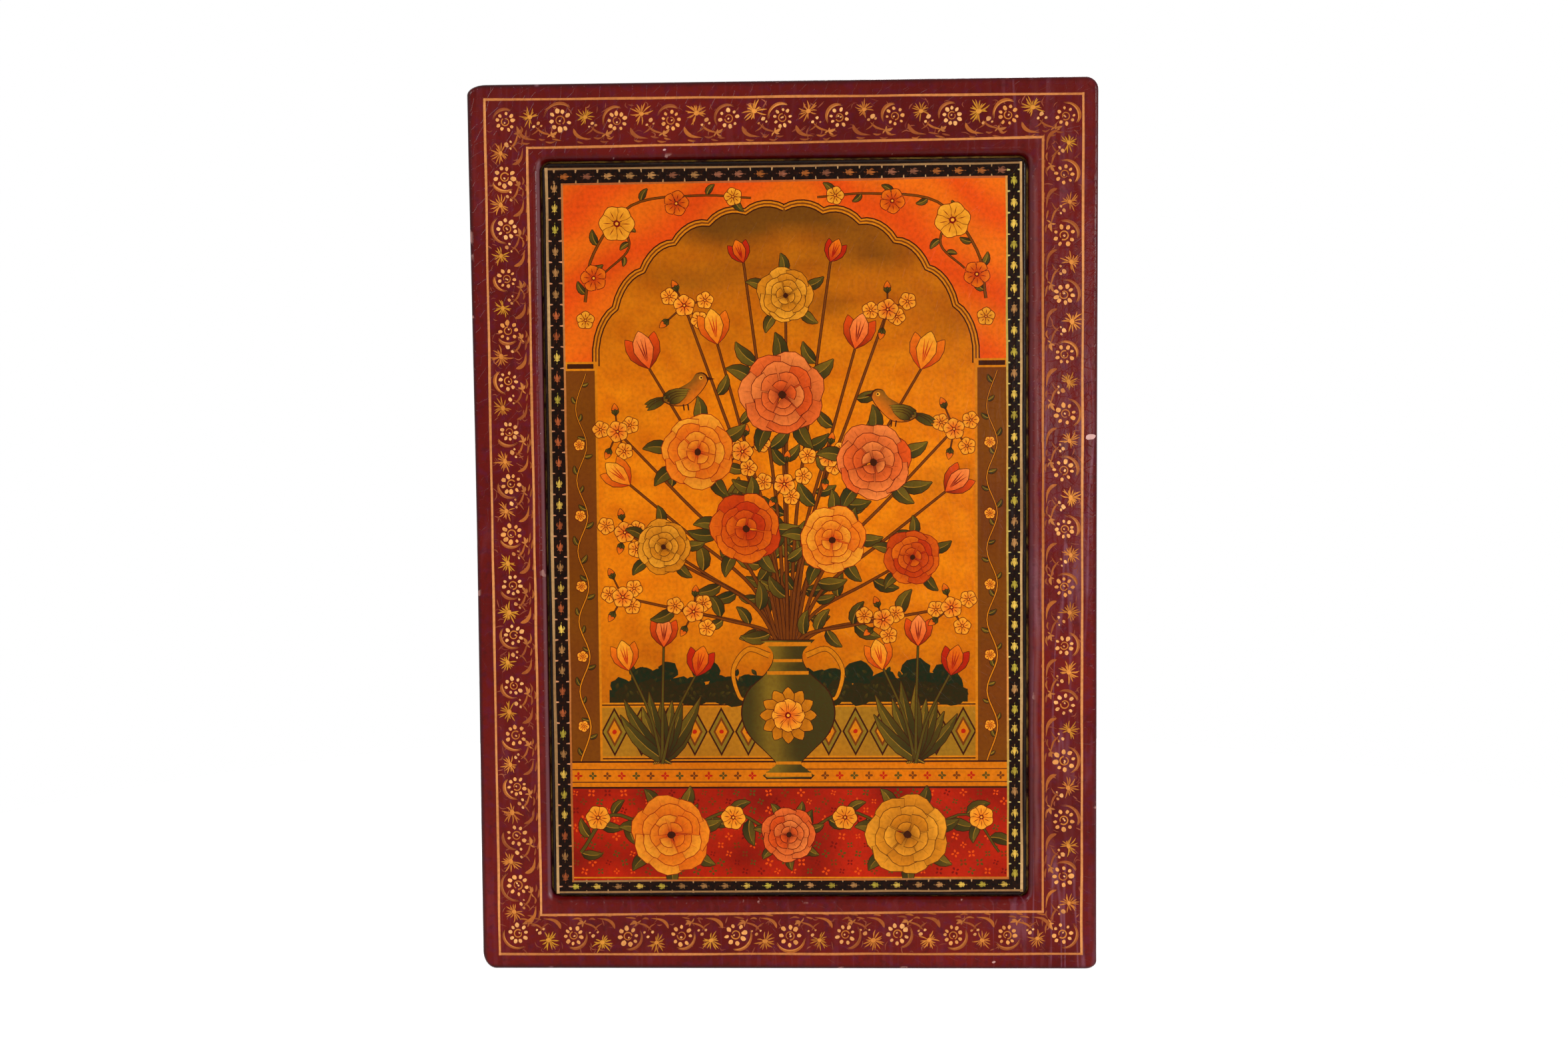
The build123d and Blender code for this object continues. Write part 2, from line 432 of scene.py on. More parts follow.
def rosette(band, s, t, radius, rng):
    """Ring of uneven dots round a small open ring."""
    count = rng.choice((8, 9, 9))
    turn = rng.uniform(0, TAU)
    dot = radius * rng.uniform(0.21, 0.25)
    warmth = rng.uniform(0.0, 0.8)
    for k in range(count):
        angle = turn + TAU * k / count + rng.uniform(-0.10, 0.10)
        size = dot * rng.uniform(0.78, 1.20)
        tone = mix(mix(GOLD_PALE, GOLD_BRIGHT, warmth), GOLD_DULL, rng.uniform(0, 0.3))
        place = polar(s, t, radius * rng.uniform(0.92, 1.06), angle)
        band.spot(*place, size * rng.uniform(1.0, 1.25), size * rng.uniform(0.85, 1.0), tone, rng, angle)
    steps = 8
    ring = [polar(s, t, radius * (0.50 - 0.10 * k / steps), turn + TAU * 0.92 * k / steps)
            for k in range(steps + 1)]
    tone = mix(GOLD_DULL, GOLD_ORANGE, rng.uniform(0, 0.5))
    band.stroke(ring, lambda w: radius * (0.16 - 0.06 * w), tone, 3)
    for _ in range(rng.choice((1, 2))):
        place = polar(s, t, radius * rng.uniform(0.05, 0.22), rng.uniform(0, TAU))
        tone = mix(GOLD_PALE, GOLD_DULL, rng.random() * 0.5)
        band.spot(*place, radius * 0.13, radius * 0.10, tone, rng, 0.8)


def starburst(band, s, t, size, rng):
    """Fan of fine strokes on the outer side of a point, with small dots beside it."""
    tone = mix(GOLD_DULL, rng.choice((GOLD_ORANGE, GOLD_YELLOW)), rng.uniform(0.1, 0.9))
    count = rng.choice((13, 14, 16))
    start = rng.uniform(-0.5, 0.2)
    for k in range(count):
        angle = start + TAU * 0.78 * k / (count - 1) + rng.uniform(-0.10, 0.10)
        reach = size * rng.uniform(0.60, 1.15)
        root = polar(s, t, size * 0.12, angle)
        middle = polar(s, t, reach * 0.6, angle + rng.uniform(-0.15, 0.15))
        shade = mix(tone, GOLD_DULL, rng.uniform(0, 0.5))
        band.stroke([root, middle, polar(s, t, reach, angle)], swell(size * 0.12, 0.5), shade, 3)
    band.spot(s, t, size * 0.24, size * 0.20, mix(tone, GOLD_BRIGHT, 0.4), rng)
    for offset_s, offset_t, radius in ((0.80, -0.62, 0.68), (0.42, -1.00, 0.42), (1.12, -0.95, 0.42)):
        dot_s = s + size * offset_s + rng.uniform(-0.25, 0.25)
        dot_t = t + size * offset_t + rng.uniform(-0.25, 0.25)
        radius *= rng.uniform(0.7, 1.1)
        tone = mix(GOLD_PALE, GOLD_DULL, rng.random() * 0.8)
        band.spot(dot_s, dot_t, radius * 1.2, radius, tone, rng, 0.6)


def crescent(band, s, t, radius, rng):
    """Soft hook of two strokes round a rosette on its outer side."""
    start = rng.uniform(2.8, 3.9)
    sweep = rng.uniform(1.5, 2.5)
    reach = radius * rng.uniform(1.60, 1.85)
    strength = rng.uniform(0.3, 1.2)
    for inset, width, light in ((0.0, 1.0, GOLD_DULL), (0.35, 0.5, GOLD_RULE)):
        points = [polar(s, t, reach - inset, start - sweep * (k / 5 + 0.1 * inset)) for k in range(6)]
        tone = mix(GOLD_FAINT, light, min(strength * rng.uniform(0.8, 1.2), 1.0))
        band.stroke(points, swell(width * rng.uniform(0.8, 1.2), rng.uniform(0.5, 0.72)), tone)


def tendril(band, s, unit, rng):
    """Thick hook and long leaves along the inner rule, and a thinner stem that ends in a leaf."""

    def along(*places):
        return [(s + share * unit, t) for share, t in places]

    tone = mix(GOLD_FAINT, GOLD_DULL, rng.uniform(0.4, 1.2))
    hook = along((0.24, -1.9), (0.28, -3.7), (0.38, -5.0), (0.56, -5.5))
    band.stroke(hook, swell(rng.uniform(1.0, 1.35), 0.38, 0.9), tone)
    for share, rise in ((0.30, -6.2), (0.60, -5.0), (0.72, -6.1), (0.84, -5.2)):
        root = (s + share * unit, rise + rng.uniform(-0.3, 0.2))
        tip = (root[0] + rng.uniform(2.2, 3.6), root[1] + rng.uniform(-0.7, 0.5))
        shade = mix(GOLD_FAINT, GOLD_DULL, rng.uniform(0.1, 0.8))
        band.stroke([root, ((root[0] + tip[0]) / 2, root[1] - 0.35), tip], swell(0.62, 0.4), shade)
    tone = mix(GOLD_FAINT, GOLD_DULL, rng.uniform(0.3, 1.0))
    band.stroke(along((0.55, -1.2), (0.66, -3.0), (0.86, -4.1)), swell(0.7, 0.5), tone)
    tone = mix(GOLD_FAINT, GOLD_DULL, 0.3)
    band.stroke(along((0.62, -1.0), (0.57, -2.6), (0.47, -3.8)), swell(0.5, 0.5), tone)


def leaf_mark(band, s, t, rng):
    """Pointed leaf of a broad stroke and two side strokes at the end of a stem."""
    tone = mix(GOLD_FAINT, GOLD_RULE, rng.uniform(0.3, 0.9))
    for angle, length, width in ((0.35, 2.6, 0.95), (-0.35, 2.0, 0.6), (1.3, 1.5, 0.6), (3.9, 1.6, 0.5)):
        angle += rng.uniform(-0.25, 0.25)
        length *= rng.uniform(0.8, 1.15)
        points = [(s, t), polar(s, t, length * 0.5, angle - 0.2), polar(s, t, length, angle)]
        band.stroke(points, swell(width), tone, 3)


def faint_hairs(band, s, unit, rng):
    """Worn hair strokes scattered over one repeat."""
    for _ in range(11):
        height = rng.choice((rng.uniform(3.6, 6.2), rng.uniform(-5.6, -2.0)))
        place = (s + rng.uniform(0.15, 0.95) * unit, height)
        angle = rng.uniform(0, TAU)
        back = angle + 2.6 + rng.uniform(-0.9, 0.9)
        reach = rng.uniform(0.8, 1.7)
        shade = mix(MAROON_RUB, GOLD_RUBBED, rng.random())
        hair = [polar(*place, reach, angle), place, polar(*place, reach, back)]
        band.stroke(hair, swell(rng.uniform(0.25, 0.5), 0.5), shade, 3)


def scroll_unit(band, s, unit, rng):
    """One repeat of the scroll: rosette, hook, starburst, tendril and leaves."""
    size = rng.uniform(2.6, 3.1)
    t = 0.55 + rng.uniform(-0.3, 0.3)
    faint_hairs(band, s, unit, rng)
    tendril(band, s, unit, rng)
    leaf_mark(band, s + 0.82 * unit, -4.0, rng)
    crescent(band, s, t, size, rng)
    starburst(band, s + 0.46 * unit + rng.uniform(-0.4, 0.4), 2.4 + rng.uniform(-0.6, 0.6),
              rng.uniform(3.1, 3.9), rng)
    rosette(band, s, t, size, rng)


def frame_ornament():
    """Gold rules and scrolling border of the front frame, with its small chips."""
    rng = random.Random(7)
    paint = Painting()
    for band, count in zip(band_sides(paint, OUTER_RULE, INNER_RULE), BORDER_REPEATS):
        for start, _, unit in band.repeats(count):
            scroll_unit(band, start + rng.uniform(-0.5, 0.5), unit, rng)
    rules = ((OUTER_RULE, (RULE_WARM, RULE_LIGHT, RULE_WARM, RULE_LIGHT), 0),
             (INNER_RULE, (RULE_WARM, RULE_BROWN, RULE_WARM, RULE_LIGHT), 4))
    for corners, golds, first_seed in rules:
        tones = [drifting(mix(gold, GOLD_DULL, 0.25), mix(gold, GOLD_ROSE, 0.25), first_seed + k)
                 for k, gold in enumerate(golds)]
        ruled_frame(paint, corners, RULE_WIDTH, tones, rng)
    for x, z, size in CHIPS:
        paint.spot(x, z, size * 1.3, size * 0.7, CHIP_PINK, 0.2, 11, rng)
    return paint.build("frame_ornament", FRONT_Y - PAINT_LIFT)


def petal_outline(x, z, angle, length, width, fullness, steps=6):
    """Teardrop that starts at x, z; a fullness over one moves its widest part outwards."""
    left = []
    right = []
    for k in range(1, steps):
        t = (1 - math.cos(math.pi * k / steps)) / 2
        half = width / 2 * math.sin(math.pi * t ** fullness) ** 0.85
        along_x, along_z = polar(x, z, length * t, angle)
        left.append(polar(along_x, along_z, half, angle + TAU / 4))
        right.append(polar(along_x, along_z, half, angle - TAU / 4))
    return [(x, z)] + right + [polar(x, z, length, angle)] + left[::-1]


def petal(paint, x, z, angle, length, width, root, tip, rim=OUTLINE_BROWN, fullness=1.6):
    """Petal shaded from its root to its tip, with a fine dark rim."""
    line = 0.24
    back_x, back_z = polar(x, z, -line, angle)
    paint.shape(petal_outline(back_x, back_z, angle, length + 2 * line, width + 2 * line, fullness), rim)
    shade = linear_shade(root, tip, (x, z), polar(x, z, length, angle))
    paint.shape(petal_outline(x, z, angle, length, width, fullness), shade)


def rose(paint, x, z, radius, tones, rng):
    """Full rose seen from the front: rings of petals that overlap towards the heart."""
    deep, bright, pale = tones
    for share, count, spread in ((1.0, 7, 0.95), (0.77, 6, 0.95), (0.54, 5, 1.0), (0.32, 4, 1.1)):
        turn = rng.uniform(0, TAU)
        reach = radius * share
        for k in range(count):
            angle = turn + TAU * k / count
            length = reach * rng.uniform(0.93, 1.06)
            tip = mix(bright, pale, rng.uniform(0.1, 0.9))
            petal(paint, x, z, angle, length, reach * spread, deep, tip, mix(deep, OUTLINE_BROWN, 0.5), 2.4)
            if share > 0.5:
                vein = [polar(x, z, length * 0.62, angle), polar(x, z, length * 0.9, angle)]
                paint.stroke(vein, swell(0.3), mix(tip, deep, 0.55), 2)
    paint.spot(x, z, radius * 0.10, radius * 0.10, OUTLINE_BROWN, 0, 8, rng)


def tulip(paint, x, z, angle, length, tones):
    """Tulip on its side view, with two outer petals, a middle one and streaks."""
    deep, bright, pale = tones
    for side in (-1, 1):
        petal(paint, x, z, angle + side * 0.42, length * 0.96, length * 0.42, deep, bright, fullness=1.1)
    petal(paint, x, z, angle, length, length * 0.52, bright, pale, fullness=1.2)
    for fan in (-0.14, 0.0, 0.14):
        streak = [polar(x, z, length * 0.2, angle + fan * 0.5), polar(x, z, length * 0.8, angle + fan)]
        paint.stroke(streak, swell(0.4, 0.35), deep, 3)


def blossom(paint, x, z, radius, tones, rng, petals=5):
    """Small open flower with a dotted heart."""
    deep, bright, pale = tones
    turn = rng.uniform(0, TAU)
    for k in range(petals):
        angle = turn + TAU * k / petals
        petal(paint, x, z, angle, radius, radius * 0.92, bright, pale, mix(deep, OUTLINE_BROWN, 0.5), 2.0)
        vein = [polar(x, z, radius * 0.3, angle), polar(x, z, radius * 0.75, angle)]
        paint.stroke(vein, swell(0.3), deep, 2)
    paint.spot(x, z, radius * 0.2, radius * 0.2, deep, 0, 8, rng)
    paint.spot(x, z, radius * 0.1, radius * 0.1, CREAM, 0, 6)


def bud(paint, x, z, angle, length, tones):
    """Closed bud in its green cup."""
    petal(paint, x, z, angle, length, length * 0.55, *tones, fullness=0.9)
    for side in (-1, 0, 1):
        petal(paint, x, z, angle + side * 0.5, length * 0.5, length * 0.22, GREEN_DARK, GREEN, GREEN_DARK)


def leaf(paint, x, z, angle, length, width, rng, bend=0.35):
    """Curved leaf with a light and a dark half and a fine midrib."""
    steps = 5
    spine = [Vector((x, z))]
    for k in range(steps):
        heading = angle + bend * (2 * k / (steps - 1) - 1)
        spine.append(spine[-1] + Vector((math.cos(heading), math.sin(heading))) * length / steps)
    dark = mix(GREEN_DARK, TEAL_DARK, rng.random())
    light = mix(GREEN, GREEN_LIGHT, rng.uniform(0, 0.8))
    width_at = swell(width, 0.42, 0.9)
    paint.shape(ribbon(spine, lambda t: width_at(t) + 0.5), OUTLINE_BROWN)
    paint.shape(ribbon(spine, width_at), linear_shade(dark, mix(dark, light, 0.5), spine[0], spine[-1]))
    half = [point + side_offset(spine, k) * width_at(k / steps) / 2 for k, point in enumerate(spine)]
    paint.shape(spine + half[::-1], linear_shade(mix(dark, light, 0.4), light, spine[0], spine[-1]))
    paint.shape(ribbon(spine[:-1], taper(0.34, 0.4)), mix(light, CREAM, 0.25))


def stem(paint, points, width, tone=BROWN):
    """Tapering stem with a dark edge."""
    curve = curve_through(points, 6)
    paint.shape(ribbon(curve, lambda t: width * (1 - 0.5 * t) + 0.4), OUTLINE_BROWN)
    paint.shape(ribbon(curve, lambda t: width * (1 - 0.5 * t)), tone)
    return curve


def leafy_stem(paint, points, width, leaf_length, rng, first=0.25, gap=3, tone=BROWN):
    """Stem with leaves on alternate sides of it."""
    curve = curve_through(points, 6)
    side = rng.choice((-1, 1))
    for index in range(int(first * len(curve)), len(curve) - 2, gap):
        along = curve[index + 1] - curve[index]
        angle = math.atan2(along.y, along.x) + side * rng.uniform(0.6, 1.0)
        length = leaf_length * rng.uniform(0.75, 1.15)
        leaf(paint, curve[index].x, curve[index].y, angle, length, length * 0.42, rng, -0.35 * side)
        side = -side
    stem(paint, points, width, tone)


def bird(paint, x, z, size, facing):
    """Small songbird on a twig, facing right for 1 and left for -1."""

    def at(u, v):
        return (x + facing * size * u, z + size * v)

    def heading(degrees):
        angle = math.radians(degrees)
        return angle if facing > 0 else math.pi - angle

    tail = at(-0.25, -0.02)
    for tilt in (196, 203, 210):
        petal(paint, *tail, heading(tilt), size * 0.62, size * 0.12, GREEN_DARK, GREEN, fullness=1.4)
    body = ((-0.42, -0.12), (-0.2, -0.22), (0.1, -0.2), (0.34, 0.0), (0.5, 0.2), (0.56, 0.36), (0.46, 0.48),
            (0.3, 0.46), (0.18, 0.3), (-0.1, 0.14), (-0.4, 0.0), (-0.42, -0.12))
    outline = curve_through([at(*place) for place in body], 3)[:-1]
    centre = Vector(at(0.06, 0.08))
    paint.shape([centre + (p - centre) * 1.06 for p in outline], OUTLINE_BROWN)
    paint.shape(outline, linear_shade(ORANGE, GREEN, at(0.3, -0.15), at(-0.05, 0.25)))
    paint.shape([at(0.53, 0.42), at(0.56, 0.33), at(0.74, 0.36)], OUTLINE_BROWN)
    for k in range(4):
        shoulder = at(0.18 - 0.03 * k, 0.14 - 0.05 * k)
        length = size * (0.62 - 0.07 * k)
        petal(paint, *shoulder, heading(192 + 4 * k), length, size * 0.15, GREEN_LIGHT, GREEN_DARK,
              fullness=1.3)
    for u, share, tone, sides in ((0.42, 0.045, CREAM, 8), (0.43, 0.025, OUTLINE_BROWN, 6)):
        paint.spot(*at(u, 0.39), size * share, size * share, tone, 0, sides)
    for foot in (0.02, 0.12):
        paint.stroke([at(foot, -0.2), at(foot + 0.02, -0.34)], taper(size * 0.035, 0.8), OUTLINE_BROWN, 2)


# The picture on the cover
PICTURE = (-73.5, 74.9, 30.5, 267.4)
PICTURE_AXIS = 0.7
LEDGE = (62.5, 72.0)
VASE_BASE = 66.0
VASE_HEIGHT = 47.0
DADO_TOP = 92.0
NICHE = (-63.0, 64.4)
ARCH_SPRING = 206.0
ARCH_TOP = 258.0

# Deep, bright and pale tone of each kind of flower
ROSE_TONES = (
    (RED_DEEP, ORANGE_RED, PEACH),
    (RED, ORANGE, CREAM),
    (mix(RED_DEEP, RED, 0.5), RED, ORANGE),
    (AMBER_BROWN, TAN, CREAM),
)
RED_FLOWER = (RED_DEEP, RED, ORANGE)
ROSY_FLOWER = (RED_DEEP, ORANGE_RED, CREAM)
ORANGE_FLOWER = (RED_DEEP, ORANGE, CREAM)
YELLOW_FLOWER = (RED_DEEP, TAN, CREAM)
GOLD_FLOWER = (RED_DEEP, GOLD_DULL, GOLD_RULE)


def painted_ground(x, z):
    """Amber ground, smoked brown towards the top and the bottom of the niche."""
    cloud = 0.5 + 0.5 * noise.noise(Vector((x * 0.03, z * 0.08, 3.0)))
    grain = noise.noise(Vector((x * 0.16, z * 0.2, 8.0)))
    height = (z - DADO_TOP) / (ARCH_TOP - DADO_TOP)
    base = mix(AMBER_LIGHT, AMBER, held(0.5 + 0.9 * grain))
    high = held((height - 0.60) / 0.34)
    low = held((0.24 - height) / 0.24)
    dark = min(1.0, high * (0.35 + 0.85 * cloud) + low * 0.5 + max(cloud - 0.60, 0) * 1.2)
    return mix(mix(base, AMBER_BROWN, dark * 0.9), SMOKE, max(dark - 0.55, 0) * 1.1)


def red_ground(x, z):
    """Red ground that is darker in soft patches."""
    patch = 0.5 + 0.5 * noise.noise(Vector((x * 0.06, z * 0.09, 5.0)))
    return mix(RED, RED_DEEP, held(patch * 1.4 - 0.35))


def spandrel_red(x, z):
    """Orange red with soft streaks."""
    waver = 1.8 * noise.noise(Vector((x * 0.04, z * 0.04, 1)))
    streak = 0.5 + 0.5 * math.sin(0.22 * (abs(x - PICTURE_AXIS) * 0.7 + z) + waver)
    return mix(ORANGE_RED, ORANGE, min(1.0, streak * 0.75))


def arch_half(side):
    """Scalloped half of the pointed arch, from its spring to its top, on one side."""
    start = NICHE[1] if side > 0 else NICHE[0]
    reach = start - PICTURE_AXIS
    lobes = 6
    points = []
    steps = lobes * 6
    for k in range(steps + 1):
        t = k / steps
        x = PICTURE_AXIS + reach * (1 - t ** 1.25)
        z = ARCH_SPRING + (ARCH_TOP - ARCH_SPRING) * math.sin(TAU / 4 * t ** 0.82) ** 0.95
        bulge = 3.4 * abs(math.sin(math.pi * lobes * t)) ** 0.8 * (1 - 0.5 * t)
        points.append((x + side * bulge * (1 - t) * 0.35, z + bulge * (0.4 + 0.6 * t)))
    return points


def spandrels(paint, rng):
    """Orange red corners above the arch, with a scroll of blossoms."""
    left, right, _, top = PICTURE
    stems = ((((12, 40), (9, 24), (-4, 8), (-26, 5), (-44, 6)), 0.7, 5.5, 0.06),
             (((0, 12), (-3, 22), (5, 30)), 0.6, 4.5, 0.2))
    flowers = ((1, 14, 6.0, YELLOW_FLOWER, 6), (-19, 7.5, 4.2, RED_FLOWER, 5), (9, 32, 4.4, RED_FLOWER, 5),
               (-38, 5.5, 3.0, YELLOW_FLOWER, 5), (12, 46, 3.0, YELLOW_FLOWER, 5))
    for side in (-1, 1):
        edge = right if side > 0 else left
        arch = arch_half(side)
        outline = [(edge, ARCH_SPRING), *arch, (PICTURE_AXIS, top), (edge, top)]
        paint.shape(outline, spandrel_red)
        for width, tone in ((2.6, OUTLINE_BROWN), (1.7, TAN), (0.5, BROWN)):
            paint.shape(ribbon([Vector(p) for p in arch], lambda t, w=width: w), tone)
        corner_x = PICTURE_AXIS + side * 55
        for places, width, leaf_length, first in stems:
            points = [(corner_x + side * out, top - down) for out, down in places]
            leafy_stem(paint, points, width, leaf_length, rng, first, 3, AMBER_BROWN)
        for out, down, radius, tones, petals in flowers:
            blossom(paint, corner_x + side * out, top - down, radius, tones, rng, petals)


def pilaster(paint, low_x, high_x, rng):
    """Brown side strip with a pale line towards the niche and a climbing vine."""
    bottom = LEDGE[1]
    top = ARCH_SPRING + 1.5

    def wood(x, z):
        return mix(BROWN, AMBER_BROWN, 0.5 + 0.5 * math.sin(z * 0.11))

    paint.bar(low_x, high_x, bottom, top, wood)
    niche_side = high_x if high_x < PICTURE_AXIS else low_x
    paint.bar(niche_side - 0.4, niche_side + 0.4, bottom, top, TAN)
    paint.bar(low_x, high_x, top - 3.0, top, TAN)
    paint.bar(low_x + 0.8, high_x - 0.8, top - 2.3, top - 0.7, OUTLINE_BROWN)
    middle = (low_x + high_x) / 2
    swing = (high_x - low_x) * 0.17
    turns = 11
    rise = (top - 4 - bottom) / turns
    points = [(middle + (swing if k % 2 else -swing), bottom + k * rise) for k in range(turns + 1)]
    leafy_stem(paint, points, 0.45, 3.2, rng, 0.02, 3, TAN)
    for k in range(1, turns, 2):
        blossom(paint, middle - swing * 0.4, bottom + k * rise, 1.9, ORANGE_FLOWER, rng)


def four_dabs(paint, x, z, reach, length, width, tone, turn, sides, rng):
    """Tiny flower of four dabs round a point."""
    for lobe in range(4):
        angle = turn + lobe * TAU / 4
        paint.spot(*polar(x, z, reach, angle), length, width, tone, angle, sides, rng)


def diaper(paint, left, right, bottom, top, step, tones, rng):
    """Staggered rows of small flowers."""
    rows = int((top - bottom) / (step * 0.55))
    for row in range(rows):
        z = bottom + (row + 0.5) * (top - bottom) / rows
        count = int((right - left) / step)
        for k in range(count):
            x = left + (k + (0.25 if row % 2 else 0.75)) * (right - left) / count
            tone = rng.choice(tones)
            size = step * 0.15 * rng.uniform(0.8, 1.2)
            four_dabs(paint, x, z, size, size * 0.6, size * 0.42, tone, rng.uniform(0, 1), 6, rng)


def dado(paint, rng):
    """Band of lozenge tiles behind the vase."""
    low_x, high_x = NICHE
    bottom, top = LEDGE[1], DADO_TOP
    paint.bar(low_x, high_x, bottom, top, drifting(mix(TAN, GREEN_LIGHT, 0.2), mix(TAN, GREEN_LIGHT, 0.8), 2))
    count = 14
    step = (high_x - low_x) / count
    middle = (bottom + top) / 2
    for k in range(count):
        x = low_x + (k + 0.5) * step
        for reach, tone in ((0.49, OUTLINE_BROWN), (0.42, GREEN_LIGHT), (0.30, BROWN), (0.22, TAN)):
            half = (top - bottom) * reach * 0.86
            wide = step * reach
            lozenge = [(x - wide, middle), (x, middle - half), (x + wide, middle), (x, middle + half)]
            paint.shape(lozenge, tone)
        paint.spot(x, middle, 0.8, 0.8, RED, 0, 8, rng)
    for z in (bottom + 0.8, top - 0.8):
        paint.bar(low_x, high_x, z - 0.8, z + 0.8, TAN)
        paint.bar(low_x, high_x, z - 0.22, z + 0.22, OUTLINE_BROWN)


def ledge(paint, rng):
    """Shelf that the vase stands on, with a pale edge and a row of dabs."""
    left, right = PICTURE[:2]
    bottom, top = LEDGE
    paint.bar(left, right, bottom, top, lambda x, z: mix(TAN, AMBER, 0.3 + 0.5 * abs(math.sin(x * 0.04))))
    for z, half, tone in ((top - 0.3, 0.3, OUTLINE_BROWN), (bottom + 0.3, 0.35, OUTLINE_BROWN),
                          (bottom + 6.6, 0.2, BROWN), (bottom + 2.2, 0.2, BROWN)):
        paint.bar(left, right, z - half, z + half, tone)
    count = 30
    for k in range(count):
        x = left + (k + 0.5) * (right - left) / count
        four_dabs(paint, x, bottom + 4.4, 0.75, 0.65, 0.42, (RED, GREEN, BROWN)[k % 3], 0.0, 7, rng)


def vase(paint, x, base, rng):
    """Dark green vase with two handles, gold bands and a lobed panel."""
    profile = ((7.2, 0), (8.2, 1.2), (6.0, 3.2), (4.2, 5.2), (7.5, 9.0), (13.2, 15.0), (15.6, 22.0),
               (13.6, 29.5), (7.6, 35.5), (5.0, 40.0), (5.4, 43.5), (9.0, VASE_HEIGHT))
    handle = ((6.2, 42), (13.5, 44), (18.5, 37), (16.5, 28), (13.4, 27))
    right = curve_through([(x + half, base + rise) for half, rise in profile], 4)
    left = [Vector((2 * x - p.x, p.y)) for p in right]
    for side in (-1, 1):
        stem(paint, [(x + side * out, base + rise) for out, rise in handle], 1.7, TAN)
    centre = Vector((x, base + 22))
    outline = right + left[::-1]
    rim = [centre + Vector(((p.x - x) * 1.03, (p.y - centre.y) * 1.015)) for p in outline]
    paint.shape(rim, OUTLINE_BROWN)

    def glaze(px, pz):
        across = (px - x) / 15.6
        light = math.exp(-((across + 0.35) / 0.28) ** 2)
        return mix(mix(GREEN_DARK, TEAL_DARK, 0.6), GREEN_LIGHT, 0.15 + 0.7 * light)

    paint.shape(outline, glaze)
    bands = ((1.2, 0.7, 7.8), (5.2, 0.5, 4.3), (36.0, 0.6, 7.0), (40.2, 0.5, 4.9), (45.8, 0.7, 7.8))
    for rise, half, reach in bands:
        paint.bar(x - reach, x + reach, base + rise - half, base + rise + half, TAN)
    belly = base + 21.5
    for angle in range(0, 360, 30):
        petal(paint, x, belly, math.radians(angle), 9.6, 4.4, AMBER_BROWN, TAN, fullness=1.7)
    blossom(paint, x, belly, 5.6, ROSY_FLOWER, rng, 8)


def bouquet(paint, x, mouth, rng):
    """Roses, tulips and blossoms that fan out of the vase and fill the niche."""
    roses = ((-0.5, 196, 14.0, 0), (-29, 177, 12.5, 1), (30, 173, 13.0, 0), (-13, 151, 12.0, 2),
             (16, 147, 11.5, 1), (-41, 145, 9.5, 3), (43, 141, 9.5, 2), (1, 229, 9.5, 3))
    tulips = ((-45, 205, 1.85, 13, 0), (46, 204, 1.30, 13, 1), (-22, 213, 1.75, 12, 1),
              (24, 211, 1.35, 12, 0), (-52, 166, 2.4, 11, 1), (54, 163, 0.75, 11, 0),
              (-13, 240, 1.9, 8, 2), (16, 240, 1.2, 8, 2))
    sprays = ((-56, 184), (57, 184), (-33, 226), (35, 224), (-55, 128), (56, 124), (-31, 123), (33, 120),
              (-14, 177), (15, 175), (-54, 150), (0, 166))
    for target_x, target_z, *_ in (*roses, *tulips, *sprays):
        dx = target_x - x
        rise = target_z - mouth
        points = [(x + dx * 0.04, mouth - 3), (x + dx * 0.22, mouth + rise * 0.34),
                  (x + dx * 0.62, mouth + rise * 0.68), (target_x, target_z)]
        leafy_stem(paint, points, 1.0, 9.5, rng, 0.28, 4)
    for middle in sprays:
        for k in range(5):
            end = polar(*middle, rng.uniform(3.5, 7.5), k * TAU / 5 + rng.uniform(0, 0.8))
            stem(paint, [middle, end], 0.4)
            if k % 2:
                bud(paint, *end, math.atan2(end[1] - middle[1], end[0] - middle[0]), 4.0, (RED, ORANGE))
            else:
                blossom(paint, *end, 2.9, ORANGE_FLOWER, rng)
        blossom(paint, *middle, 3.6, ROSY_FLOWER, rng)
    for *place, angle, length, kind in tulips:
        tulip(paint, *place, angle, length, ROSE_TONES[kind])
    for *place, radius, kind in roses:
        for k in range(5):
            angle = rng.uniform(0, 0.6) + k * TAU / 5
            leaf(paint, *polar(*place, radius * 0.72, angle), angle, radius * 0.8, radius * 0.36, rng)
        rose(paint, *place, radius, ROSE_TONES[kind], rng)


def shrubs(paint, rng):
    """Dark rounded bushes along the foot of the niche, with lighter leaves."""
    low_x, high_x = NICHE
    count = 28
    for tone, height in ((TEAL_DARK, 11.0), (GREEN_DARK, 5.0)):
        paint.bar(low_x + 3, high_x - 3, DADO_TOP, DADO_TOP + height * 0.4, tone)
        for k in range(count):
            x = low_x + 5.5 + (k + rng.uniform(0.2, 0.8)) * (high_x - low_x - 11) / count
            radius = rng.uniform(3.2, 5.0)
            paint.spot(x, DADO_TOP + height * rng.uniform(0.35, 1.0), radius, radius * 0.85, tone, 0, 14, rng)
        for _ in range(90):
            x = rng.uniform(low_x + 5, high_x - 5)
            z = DADO_TOP + rng.uniform(0.5, height * 0.95)
            shade = mix(tone, GREEN, rng.uniform(0.1, 0.7))
            petal(paint, x, z, rng.uniform(0.3, 2.8), 2.2, 1.0, tone, shade, tone, 1.0)


